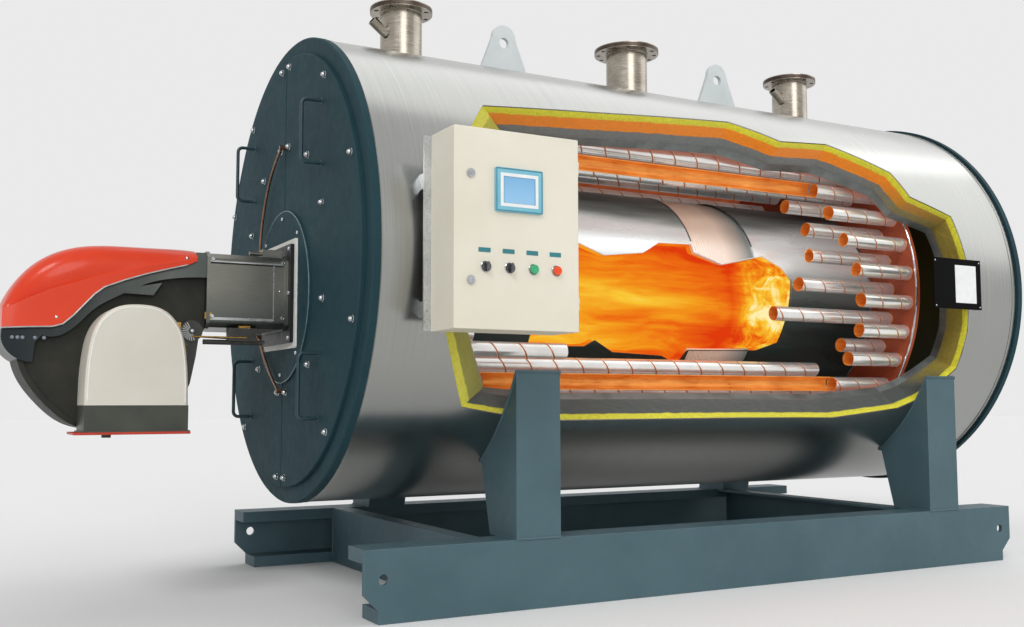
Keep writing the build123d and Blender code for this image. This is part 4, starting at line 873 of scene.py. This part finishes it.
def barrelWall(x, radius, gap=0.0, columns=73):
    # the wall left beside the opening: angles from its upper edge round the far side to its lower edge
    low = np.degrees(np.arcsin(np.interp(x, share(edgeTop[:, 0]), edgeTop[:, 1])))
    high = 360 + np.degrees(np.arcsin(np.interp(x, share(edgeBottom[:, 0]), edgeBottom[:, 1])))
    gapped = high - low < 359.9
    low, high = low + gap * gapped, high - gap * gapped
    angle = np.radians(low[:, None] + (high - low)[:, None] * np.linspace(0, 1, columns))
    return across(x[:, None], radius, angle, furnaceZ)


def shelled(outside, inside):
    # two faces and the four strips that join their edges
    edges = (slice(None), 0), (slice(None), -1), (0, slice(None)), (-1, slice(None))
    return [outside, inside] + [np.stack([outside[edge], inside[edge]]) for edge in edges]


liner = {"gap": 0.026, "thick": 0.006, "waves": 0.006, "shortDegrees": 2.0, "rows": 60, "columns": 73}


def glowLiner():
    # a thin sleeve just inside the furnace wall, a little short of the opening, with a wavy inner face
    x = np.linspace(tubeSheetFront + 0.002, tubeSheetRear - 0.002, liner["rows"])
    x = np.unique(np.concatenate([x, share(edgeTop[:, 0])]))
    outer = furnace["radius"] - furnace["wall"] - liner["gap"]
    inner = outer - liner["thick"] - liner["waves"] * smoothNoise(len(x), liner["columns"], 6.0)
    return shelled(*(barrelWall(x, radius, liner["shortDegrees"]) for radius in (outer, inner)))


def ridgedBarrel():
    # r = R - 7 mm (1 - sin(pi u)^0.35) + 2 mm sin(2 pi x / 16.5 mm), the ridges fading out at half the length
    low, high = box("furnace_corrugated")[:2]
    x = np.linspace(low[0] + 0.0002, high[0] - 0.0002, 150)
    u = (x - x[0]) / (x[-1] - x[0])
    ridges = 0.0020 * np.sin(fullTurn * x / 0.0165) * np.clip(1.5 - 2.6 * u, 0, 1)
    outer = furnace["radius"] - 0.0045 - 0.007 * (1 - np.sin(math.pi * u) ** 0.35) + ridges
    return shelled(barrelWall(x, outer[:, None]), barrelWall(x, outer[:, None] - furnace["wall"] + 0.002))


flame = {"start": 0.12, "finish": 0.83, "rows": 110, "columns": 72, "radii": (
    (0, 0), (0.015, 0.32), (0.06, 0.36), (0.14, 0.31), (0.3, 0.33), (0.6, 0.35), (0.76, 0.37), (0.86, 0.42),
    (0.95, 0.46), (0.985, 0.44), (1, 0))}


def flameBody():
    # a long tongue that fans out at both ends: r(u) from the table, times 1 + waves of u and t + noise
    rows, cols = flame["rows"], flame["columns"]
    u = np.linspace(0, 1, rows)
    t = np.linspace(0, fullTurn, cols)
    noise = smoothNoise(rows, cols - 1, 9.0)
    noise = np.concatenate([noise, noise[:, :1]], 1)
    calm = np.clip((1 - u) / 0.2, 0, 1)[:, None]
    lick = calm * (0.05 * np.sin(9 * u[:, None] * math.pi + 2 * t[None]) + 0.16 * (noise - 0.5))
    radius = np.interp(u, *zip(*flame["radii"]))[:, None] * (1 + lick)
    x = share(flame["start"] + (flame["finish"] - flame["start"]) * u)
    return across(x[:, None], radius, math.pi - t, furnaceZ)


tornEdge = bead(openingPath(furnace["radius"] - 0.0018), 0.0022, 0.15, 0.02, closed=True)
addPiece("furnaceTornEdge", [tornEdge], [furnaceSteel], "furnace_steel")
seams = [bead(arcPath(share(x), furnace["radius"] - 0.001, furnaceZ, 27, 318), 0.0045, 0.12, 0.009)
         for x in (0.5287, 0.6366)]
seams += [bead(arcPath(x, furnace["radius"] + 0.001, furnaceZ), 0.007, **plateWeld)
          for x in (tubeSheetFront + 0.003, tubeSheetRear - 0.003)]
addPiece("furnaceSeamWelds", seams, [weldSteel], "furnace_steel")
ridged = {"slot": "corrugated_steel", "replaces": ["furnace_corrugated"]}
addPiece("furnaceRidgedBarrel", ridgedBarrel(), [corrugatedSteel], **ridged)
addPiece("flameWallGlow", glowLiner(), [flameMaterial], "corrugated_steel")
addPiece("flameTongue", [flameBody()], [flameMaterial], "corrugated_steel")
plateWelds = [bead(arcPath(x, shellBore - 0.002, axisZ), 0.005, pitch=0.012, step=0.006, **plateWeld)
              for x in (tubeSheetFront + 0.002, tubeSheetRear - 0.002)]
addPiece("tubePlateRimWelds", plateWelds, [chromeTurned], "tube_plate_steel")
print("furnace done")


def circle(face, radius, centreZ, degrees):
    # places on a circle that stands across the barrel's axis, from its far side up
    return across(face, radius, math.pi - np.radians(degrees), centreZ)


doorFace = box("door_half_near")[0][0]
nut = {"flats": 0.024, "height": 0.010, "dome": 0.0105, "domeRise": 0.010,
       "washer": 0.0155, "washerHeight": 0.0028, "radii": (0.94, 0.575), "degrees": (55, 23.5, -17.5, -50),
       "seam": ((0.055, 0.935), (0.055, -0.935), (0.058, 0.563), (0.058, -0.555))}
bend = np.linspace(0, math.pi / 2, 7)
dome = np.stack([nut["dome"] * np.cos(bend), nut["height"] + nut["domeRise"] * np.sin(bend)], 1)
dome[-1, 0] = 0.0
edge = nut["height"] - 0.001
acornNut = [
    turned(head(nut["flats"] / 1.732, edge, nut["flats"] / 1.86, nut["height"]), 6, 0.26),
    turned([(0, edge), (nut["dome"], edge), *dome], 20),
    turned(head(nut["washer"], nut["washerHeight"] * 0.7, nut["washer"] - 0.001, nut["washerHeight"]), 20)]
nutPlaces = []
for side in (-1, 1):
    for radius in nut["radii"]:
        nutPlaces += list(circle(doorFace, radius, axisZ, nut["degrees"]) * (1, side, 1))
    nutPlaces += [(doorFace, side * y, axisZ + z) for y, z in nut["seam"]]
nuts = [grid for shape in acornNut for grid in copies(shape, nutPlaces, (-1, 0, 0))]
addPiece("doorAcornNuts", nuts, [chromeTurned], "knob_metal", sharpAngle=32)

handle = {"y": 0.5046, "rise": 0.533, "half": 0.134, "foot": 0.0125, "footHeight": 0.004}
footShape = turned(
    head(handle["foot"], handle["footHeight"] * 0.6, handle["foot"] - 0.003, handle["footHeight"]), 20)
feet = [(doorFace, side * handle["y"], axisZ + up * handle["rise"] + end * handle["half"])
        for side in (-1, 1) for up in (-1, 1) for end in (-1, 1)]
addPiece("handleFeet", copies(footShape, feet, (-1, 0, 0)), [handleSteel], "handle_steel")

bossFace, bossRadius = box("burner_boss")[0][0], box("burner_boss")[3][1]
# a lighter bead round the boss paints the highlight of its rounded edge
bossEdge = bead(arcPath(bossFace + 0.0028, bossRadius - 0.001, burnerZ), 0.0028, step=0.008, closed=True)
addPiece("bossEdgeHighlightBead", [bossEdge], [bossHighlightPaint], "door_paint")
bolts = {"plate": head(0.0085, 0.006, 0.0078, 0.0068), "plateInset": 0.02,
         "bossCircle": 0.355, "bossDegrees": (48, 92, 132, 228, 268, 312),
         "rear": head(0.013, 0.009, 0.012, 0.010), "rearCircle": 1.016, "rearCount": 24, "rearDepth": 0.035}
spread = box("burner_plate")[3][1] - bolts["plateInset"]
plateFace = box("burner_plate")[0][0]
plateBolts = [(plateFace, y, burnerZ + z) for y in (-spread, spread) for z in (-spread, 0, spread)]
bossBolts = list(circle(bossFace, bolts["bossCircle"], burnerZ, bolts["bossDegrees"]))
heads = copies(turned(bolts["plate"], 6), plateBolts + bossBolts, (-1, 0, 0))
addPiece("burnerPlateBolts", heads, [bracketZinc], "knob_metal", flat=True)
rearDegrees = np.arange(bolts["rearCount"]) * 360 / bolts["rearCount"]
rearBolts = circle(bodyEnd + bolts["rearDepth"], bolts["rearCircle"], axisZ, rearDegrees)
heads = copies(turned(bolts["rear"], 6), rearBolts, (1, 0, 0))
addPiece("rearCoverBolts", heads, [bracketZinc], "knob_metal", flat=True)
print("doors done")


def onBarrel(x, y, radius, top=True):
    # points on the barrel's skin above or below: z = axis + or - the root of R^2 - y^2
    z = axisZ + (1 if top else -1) * np.sqrt(radius ** 2 - np.asarray(y) ** 2)
    return np.stack([np.asarray(x) + 0 * z, np.asarray(y) + 0 * z, z], -1)


neckWeld = {"ripple": 0.14, "pitch": 0.009, "closed": True}
turn = np.linspace(0, fullTurn, 73)[:-1]
necks = {"nozzle_front": 0.102, "nozzle_middle": 0.111, "nozzle_rear": 0.102}
nozzles = {"flange": 0.026, "skinWeld": 0.006, "collarWeld": 0.0045}
rimShape = np.array([(-0.001, 0.001), (0.0007, 0.002), (0.0007, 0.0215), (-0.001, 0.0225), (-0.001, 0.001)])
nozzleBeads, flangeRims = [], []
for nodeName, neck in necks.items():
    high, flange = box(nodeName)[1], box(nodeName)[3][1]
    centreX, under = high[0] - flange, high[2] - nozzles["flange"]
    neckX, neckY = centreX + neck * np.cos(turn), neck * np.sin(turn)
    nozzleBeads.append(bead(onBarrel(neckX, neckY, claddingRadius + 0.001), nozzles["skinWeld"], **neckWeld))
    collar = np.stack([neckX, neckY, np.full(len(turn), under - 0.001)], 1)
    nozzleBeads.append(bead(collar, nozzles["collarWeld"], 0.12, 0.008, closed=True))
    # a dark band round each flange paints the reflection seen on its rim
    flangeRims += copies(turned(rimShape + (flange, 0), 72), [(centreX, 0, under)], (0, 0, 1))
addPiece("nozzleWelds", nozzleBeads, [nozzleSteel], "nozzle_steel")
addPiece("nozzleFlangeRims", flangeRims, [flangeRimDarkReflection], "nozzle_steel")

lugs = {"parts": (0.3052, 0.6852), "weld": 0.006}
lugHalf = share(lugs["parts"][0]) - box("lifting_lugs")[0][0]
lugSide, lugZ = box("lifting_lugs")[3][1] + 0.002, axisZ + claddingRadius + 0.002
square = np.array([(-1, -1), (1, -1), (1, 1), (-1, 1)])
lugBeads = []
for part in lugs["parts"]:
    corners = square * (lugHalf, lugSide) + (share(part), 0)
    lugBeads.append(bead(np.insert(corners, 2, lugZ, 1), lugs["weld"], **neckWeld))
addPiece("liftingLugWelds", lugBeads, [lugPaint], "lug_steel")

legs = {"width": 0.208, "saddle": 0.329, "foot": 0.17,
        "saddleWeld": 0.006, "footWeld": 0.0055, "railWeld": 0.005}
railTop, railOuter = box("skid_rails")[1][2], box("skid_rails")[1][1]
legLow, legHigh = box("saddle_legs")[:2]
skidWeld = {**neckWeld, "pitch": 0.01}
skidBeads = []
for start in (legLow[0], legHigh[0] - legs["width"]):
    finish = start + legs["width"]
    for side in (-1, 1):
        ys = side * np.linspace(railOuter, railOuter - legs["saddle"], 14)
        front = onBarrel(start, ys, claddingRadius + 0.003, top=False)
        rear = onBarrel(finish, ys[::-1], claddingRadius + 0.003, top=False)
        skidBeads.append(bead(np.concatenate([front, rear]), legs["saddleWeld"], **skidWeld))
        outside, inside = side * railOuter, side * (railOuter - legs["foot"])
        foot = [(start, outside), (start, inside), (finish, inside), (finish, outside)]
        skidBeads.append(bead([(x, y, railTop + 0.001) for x, y in foot], legs["footWeld"], **skidWeld))
crossLow, crossHigh = box("cross_members")[:2]
for x in (crossLow[0], crossHigh[0]):
    for side in (-1, 1):
        upright = [(x, side * crossHigh[1], z) for z in (0.012, railTop - 0.012)]
        skidBeads.append(bead(upright, legs["railWeld"], skidWeld["ripple"], skidWeld["pitch"]))
addPiece("skidWelds", skidBeads, [skidEnamel], "skid_paint")

bandShape = [(-0.002, -0.014), (0.0022, -0.0135), (0.0022, 0.0135), (-0.002, 0.014), (-0.002, -0.014)]
hoop = turned(np.array(bandShape) + (claddingRadius, 0), 180)
bands = copies(hoop, [(x, 0, axisZ) for x in (station(0.052), bodyEnd - 0.018)], (1, 0, 0))
addPiece("claddingEndBands", bands, [claddingSteel], "cladding_steel")
print("welds and bands done")


knobNames = "selector_left", "selector_right", "button_green", "button_red"
knobX = [box(nodeName)[2][0] for nodeName in knobNames]
knobZ = box("selector_left")[2][2]
knobRadius = box("button_green")[3][0]
doorSkin = box("selector_left")[0][1] + 0.025
labels = {"width": 0.050, "height": 0.017, "thick": 0.0016, "rise": 0.062, "shift": -0.005}
labelPlates = []
for x in knobX:
    middle = np.array((x + labels["shift"], doorSkin, knobZ + labels["rise"]))
    half = np.array((labels["width"] / 2, 0, labels["height"] / 2))
    labelPlates.append(block(middle - half - (0, labels["thick"], 0), middle + half + (0, 0.0004, 0), 0.0005))
addPiece("cabinetLabelPlates", labelPlates, [labelTeal], "screen_blue", "cabinet_door", flat=True)
bezelShape = np.array([
    (0.0012, -0.0004), (0.0050, -0.0004), (0.0046, 0.0030), (0.0030, 0.0042), (0.0012, 0.0036),
    (0.0012, -0.0004)])
bezels = copies(turned(bezelShape + (knobRadius, 0), 28), [(x, doorSkin, knobZ) for x in knobX], (0, -1, 0))
addPiece("knobBezels", bezels, [chromeTurned], "knob_metal", "cabinet_door")


def screenPart(part):
    # lowest and highest corner of a field that has these shares of the screen's width and height
    half = box("touch_screen")[3] * (part[0], 1, part[1])
    return box("touch_screen")[2] - half, box("touch_screen")[2] + half


def pictureFrame(low, high, width, near, far):
    # a flat frame: outer front, inner front, inner back, outer back, each a closed square of corners
    rings = []
    for inset, y in ((0, far), (0, near), (width, near), (width, far), (0, far)):
        x0, x1, z0, z1 = low[0] + inset, high[0] - inset, low[2] + inset, high[2] - inset
        rings.append([(x0, y, z0), (x1, y, z0), (x1, y, z1), (x0, y, z1), (x0, y, z0)])
    return np.array(rings)


screenFront = box("touch_screen")[0][1]
for pieceName, part, width, near, far, finish in (
    ("screenRim", (0.985, 0.982), 0.0045, -0.0008, 0.001, frameTeal),
    ("screenWhiteFrame", (0.80, 0.76), 0.0125, -0.0006, 0.0022, panelWhite),
    ("screenInnerRim", (0.685, 0.632), 0.003, -0.0004, 0.0022, frameTeal),
):
    border = pictureFrame(*screenPart(part), width, screenFront + near, screenFront + far)
    addPiece(pieceName, [border], [finish], "screen_blue", "cabinet_door", flat=True)
glassLow, glassHigh = screenPart((0.66, 0.60))
glassBlue = displayGlass("displayGlassLit", {
    "low": "#8DBBDD", "high": "#76AAD2", "bottom": glassLow[2], "top": glassHigh[2], "smearMm": 30})
glassLow[1], glassHigh[1] = screenFront + 0.0006, screenFront + 0.0026
glass = block(glassLow, glassHigh, 0.0004)
addPiece("screenDisplay", [glass], [glassBlue], "screen_blue", "cabinet_door", flat=True)
print("cabinet done")


plateLow = box("nameplate")[0]
panel = {"start": 3.176, "finish": 3.331, "half": 0.097, "thick": 0.0016}
panelBlock = block((station(panel["start"]), plateLow[1] - panel["thick"], axisZ - panel["half"]),
                   (station(panel["finish"]), plateLow[1] + 0.0005, axisZ + panel["half"]), 0.0006)
addPiece("nameplatePanel", [panelBlock], [panelWhite], "plate_black", flat=True)
rivet = [(0, 0), (0.0042, 0), (0.0038, 0.0012), (0.0024, 0.0021), (0, 0.0025)]
rivets = [(plateLow[0] + x, plateLow[1], axisZ + z) for x in (0.012, 0.338) for z in (-0.115, 0.115)]
addPiece("nameplateRivets", copies(turned(rivet, 14), rivets, (0, -1, 0)), [chromeTurned], "knob_metal")


# the burner's places are stations in front of the front plate and heights from the barrel's axis
hoodSide = box("burner_hood")[0][1]
frameSide = box("burner_frame")[0][1]
housingSide, ductSide = -0.150, -0.180
camY = housingSide - 0.0163


def sideLine(line, y):
    # a line of (station, height) pairs stood up at y
    line = np.asarray(line, float)
    return np.stack([station(line[:, 0]), np.full(len(line), y), axisZ + line[:, 1]], 1)


def sheetShape(outline, near, far):
    # a flat plate cut to a convex outline: centre, rim, rim, centre
    rim = np.array([*outline, outline[0]], float)
    middle = np.repeat(rim[:-1].mean(0)[None], len(rim), 0)
    lines = (middle, near), (rim, near), (rim, far), (middle, far)
    return np.stack([sideLine(line, y) for line, y in lines])


def strip(start, finish, bottom, top, rise, side=ductSide):
    # an upright strip on a flat side, standing out of it by its rise
    outline = (start, top), (finish, top), (finish, bottom), (start, bottom)
    return sheetShape(outline, side - rise, side + 0.0004)


trim = {"radius": 0.0034, "proud": 0.001, "noseY": 0.195, "line": (
    (-1.196, -0.309), (-1.105, -0.3035), (-1.015, -0.300), (-0.976, -0.288), (-0.938, -0.253), (-0.900, -0.209),
    (-0.861, -0.165), (-0.822, -0.133), (-0.741, -0.099), (-0.659, -0.071), (-0.574, -0.046), (-0.489, -0.023))}
nearTrim = sideLine(trim["line"], hoodSide + trim["proud"])[::-1]
farTrim = sideLine(trim["line"], -hoodSide - trim["proud"])
nearTrim[-1, 1], farTrim[0, 1] = -trim["noseY"], trim["noseY"]        # the line turns round the nose
trimBead = bead(np.concatenate([nearTrim, farTrim]), trim["radius"], step=0.008)
addPiece("hoodEdgeTrim", [trimBead], [trimSteel], "cast_aluminium")

hoodScrew = [(0, 0), (0.006, 0), (0.006, 0.0015), (0.004, 0.003), (0, 0.0034)]
capScrew = [
    (0, 0), (0.0085, 0), (0.0085, 0.0075), (0.0075, 0.0085), (0.0045, 0.0085), (0.0045, 0.0045), (0, 0.0045)]
panHead = [(0, 0), (0.0048, 0), (0.0042, 0.002), (0.002, 0.003), (0, 0.0032)]


def screwsOnBothSides(kinds):
    # each kind: its profile, its count of facets, its distance from the middle, its places
    return [grid for side in (-1, 1) for profile, count, out, spots in kinds
            for grid in copies(turned(profile, count), sideLine(spots, side * out), (0, side, 0))]


hoodScrews = screwsOnBothSides([(hoodScrew, 16, 0.1995, ((-1.000, -0.262), (-0.497, 0.004)))])
addPiece("hoodScrews", hoodScrews, [chromeTurned], "knob_metal")
wedge = (-0.7600, -0.1535), (-0.6252, -0.1576), (-0.5882, -0.1015), (-0.7136, -0.1265)
wedges = [sheetShape(wedge, side * 0.1798, side * 0.166) for side in (-1, 1)]
addPiece("frameWedges", wedges, [castAluminium], "cast_aluminium", bevelMm=2.5)
gland = [(0, 0), (0.0075, 0), (0.0075, 0.005), (0.006, 0.006), (0.006, 0.011), (0.0035, 0.013), (0, 0.013)]
glandPlaces = sideLine([(x, -0.345) for x in (-1.1575, -1.138, -1.120, -1.075, -1.042)], frameSide)
addPiece("noseGlands", copies(turned(gland, 12), glandPlaces, (0, -1, 0)), [glandGrey], "housing_dark")

hub = {"place": np.array((-0.4643, -0.299)), "tickDegrees": np.arange(120, 300, 15), "profile": (
    (0, 0), (0.008, 0), (0.008, 0.006), (0.007, 0.0075), (0.004, 0.0075), (0.004, 0.012), (0, 0.0125))}
ticks = []
for angle in np.radians(hub["tickDegrees"]):
    along, away = np.array(((math.cos(angle), math.sin(angle)), (-math.sin(angle), math.cos(angle))))
    corners = [hub["place"] + along * a + away * b
               for a, b in ((0.014, -0.0008), (0.041, -0.0016), (0.041, 0.0016), (0.014, 0.0008))]
    ticks.append(sheetShape(corners, camY - 0.0012, camY + 0.0006))
addPiece("camScaleTicks", ticks, [trimSteel], "plate_black", flat=True)
camHub = copies(turned(hub["profile"], 20), sideLine([hub["place"]], camY), (0, -1, 0))
addPiece("camHub", camHub, [chromeTurned], "knob_metal")

slide = (-0.2700, -0.2725), (-0.2183, -0.2707), (-0.2174, -0.3240), (-0.2330, -0.3240), (-0.2612, -0.2979)
clip = (-0.5313, -0.2640), (-0.5067, -0.2631), (-0.5058, -0.3052), (-0.5250, -0.3010)
brassParts = [
    strip(-0.4162, -0.3862, -0.2462, -0.2175, 0.0022),
    sheetShape(slide, -0.1745, -0.1715),
    sheetShape(clip, housingSide - 0.0022, housingSide + 0.0004)]
for radius, ends in (
    (0.0032, ((-0.4643, camY - 0.003, -0.322), (-0.2230, -0.1765, -0.3225))),
    (0.0028, ((-0.4880, camY - 0.002, -0.352), (-0.4812, housingSide - 0.003, -0.478))),
):
    brassParts.append(bead([(station(x), y, axisZ + z) for x, y, z in ends], radius, count=10))
addPiece("linkageBrassParts", brassParts, [brassTurned], "knob_metal")

ductStart, ductFinish, lapX = -0.4080, -0.0760, -0.1216
# the dark strip paints the shadow under the top lap; the top and bottom strips are raised laps of lighter metal
# whose light tone paints highlights on the duct's edges, and the upright lap is the sheet's seam
groove = strip(ductStart, ductFinish, -0.009, -0.002, 0.0008)
addPiece("ductShadowGroove", [groove], [housingBlack], "cast_aluminium", flat=True)
ductLapsAndHighlights = [
    strip(ductStart, lapX, -0.2495, -0.2385, 0.0018),
    strip(lapX, lapX + 0.004, -0.246, -0.004, 0.0026),
    strip(ductStart, ductFinish, -0.002, 0.004, 0.0016)]
addPiece("ductSeamAndHighlightStrips", ductLapsAndHighlights, [trimSteel], "cast_aluminium", flat=True)
ductScrews = screwsOnBothSides([
    (capScrew, 16, 0.180, ((-0.386, 0.010), (-0.386, -0.234), (-0.078, 0.010), (-0.078, -0.234))),
    (panHead, 14, 0.180, ((-0.0919, -0.1159),))])
addPiece("ductCapScrews", ductScrews, [chromeTurned], "knob_metal")

# the intake cover's front corner, read from its mesh and sorted round its middle from the bottom
cover = {"edge": 0.0024, "sunk": 0.0008}
coverLow = box("air_intake_box")[0]
coverPoints = np.array([vertex.co for vertex in nodes["air_intake_box"].data.vertices])
onFront = (np.abs(coverPoints[:, 1] - coverLow[1]) < 0.0004) & (coverPoints[:, 2] > coverLow[2] + 0.002)
coverRim = np.unique(np.round(coverPoints[onFront], 5), axis=0)
off = coverRim - coverRim.mean(0)
roundIt = np.argsort((np.arctan2(off[:, 2], off[:, 0]) + math.pi / 2) % fullTurn)
coverRim = coverRim[roundIt] + (0, cover["sunk"], 0)
# a bead of paler enamel along the front corner paints the cover's edge highlight
addPiece("intakeCoverHighlightEdge", [bead(coverRim, cover["edge"], count=10, step=0.006)], [coverHighlightPaint], "intake_beige")
intakeLow, intakeHigh = box("air_intake_base")[:2]
base = {"low": (-0.028, -0.002, -0.0006), "high": (0.001, -0.0004, 0.0095), "rise": 0.014, "chamfer": 0.002}
intakeLow[2] = intakeHigh[2] = intakeLow[2] + base["rise"]
baseBlock = block(intakeLow + base["low"], intakeHigh + base["high"], base["chamfer"])
addPiece("intakeBasePlate", [baseBlock], [baseRed], "hood_red", flat=True)
print("burner done")


stage = {"colour": "#EAEAEA", "half": 60.0, "drop": 0.001, "ambient": 0.535, "grainMm": 1000 / 900}
corners = np.array([[(-1, -1, 0), (1, -1, 0)], [(-1, 1, 0), (1, 1, 0)]], float)
floorMesh = gridMesh([corners * stage["half"] - (0, 0, stage["drop"])])
floor = bpy.data.objects.new("studioFloor", floorMesh)
bpy.context.scene.collection.objects.link(floor)
floorMesh.materials.append(studioPaper("studioPaperPale", stage))

world = bpy.data.worlds.new("studio")
bpy.context.scene.world = world
world.use_nodes = True
world.node_tree.nodes.clear()
addSky = functools.partial(addNode, world.node_tree)
ray = addSky("LightPath").outputs
seen = addSky("Math", (ray["Is Camera Ray"], ray["Is Glossy Ray"]), operation="MAXIMUM")
seen = addSky("Math", (seen, ray["Is Transmission Ray"]), operation="MAXIMUM")
fill = addSky("Background", ((1, 1, 1, 1), stage["ambient"]))
backdrop = addSky("Background", (stage["colour"], 1.0))
addSky("OutputWorld", (addSky("MixShader", (seen, fill, backdrop)),))

# a sun's strength over pi, times the cosine, is what it adds to a white sheet; with the sky that makes about 1
lamps = {
    "keyLamp": {"toward": (-0.62, -0.62, 0.75), "strength": 0.95, "spread": 20},
    "fillLamp": {"toward": (-0.15, -0.95, 0.30), "strength": 0.70, "spread": 30},
    "topLamp": {"toward": (0.50, 0.23, 0.83), "strength": 0.42, "spread": 45},
    "sideLamp": {"toward": (0.82, -0.20, 0.50), "strength": 0.62, "spread": 50},
}
for lampName, lamp in lamps.items():
    light = bpy.data.lights.new(lampName, "SUN")
    light.angle = math.radians(lamp["spread"])
    light.energy = lamp["strength"]
    holder = bpy.data.objects.new(lampName, light)
    holder.rotation_euler = Vector(lamp["toward"]).to_track_quat("Z", "Y").to_euler()
    bpy.context.scene.collection.objects.link(holder)

view = {"place": (-2.0537, -4.8861, 0.8287), "yaw": 28.7066, "pitch": 4.6953, "roll": -0.1129, "lens": 38.751}
camera = bpy.data.cameras.new("photoCamera")
camera.lens = view["lens"]
camera.sensor_width = 36.0
camera.sensor_fit = "HORIZONTAL"
camera.clip_end = 200
cameraObject = bpy.data.objects.new("photoCamera", camera)
cameraObject.matrix_world = (
    Matrix.Translation(view["place"])
    @ Matrix.Rotation(math.radians(-view["yaw"]), 4, "Z")
    @ Matrix.Rotation(math.radians(90 + view["pitch"]), 4, "X")
    @ Matrix.Rotation(math.radians(view["roll"]), 4, "Z"))
bpy.context.scene.collection.objects.link(cameraObject)
bpy.context.scene.camera = cameraObject
bpy.context.scene.view_settings.view_transform = "Standard"

bpy.context.view_layer.update()
print("stage done")
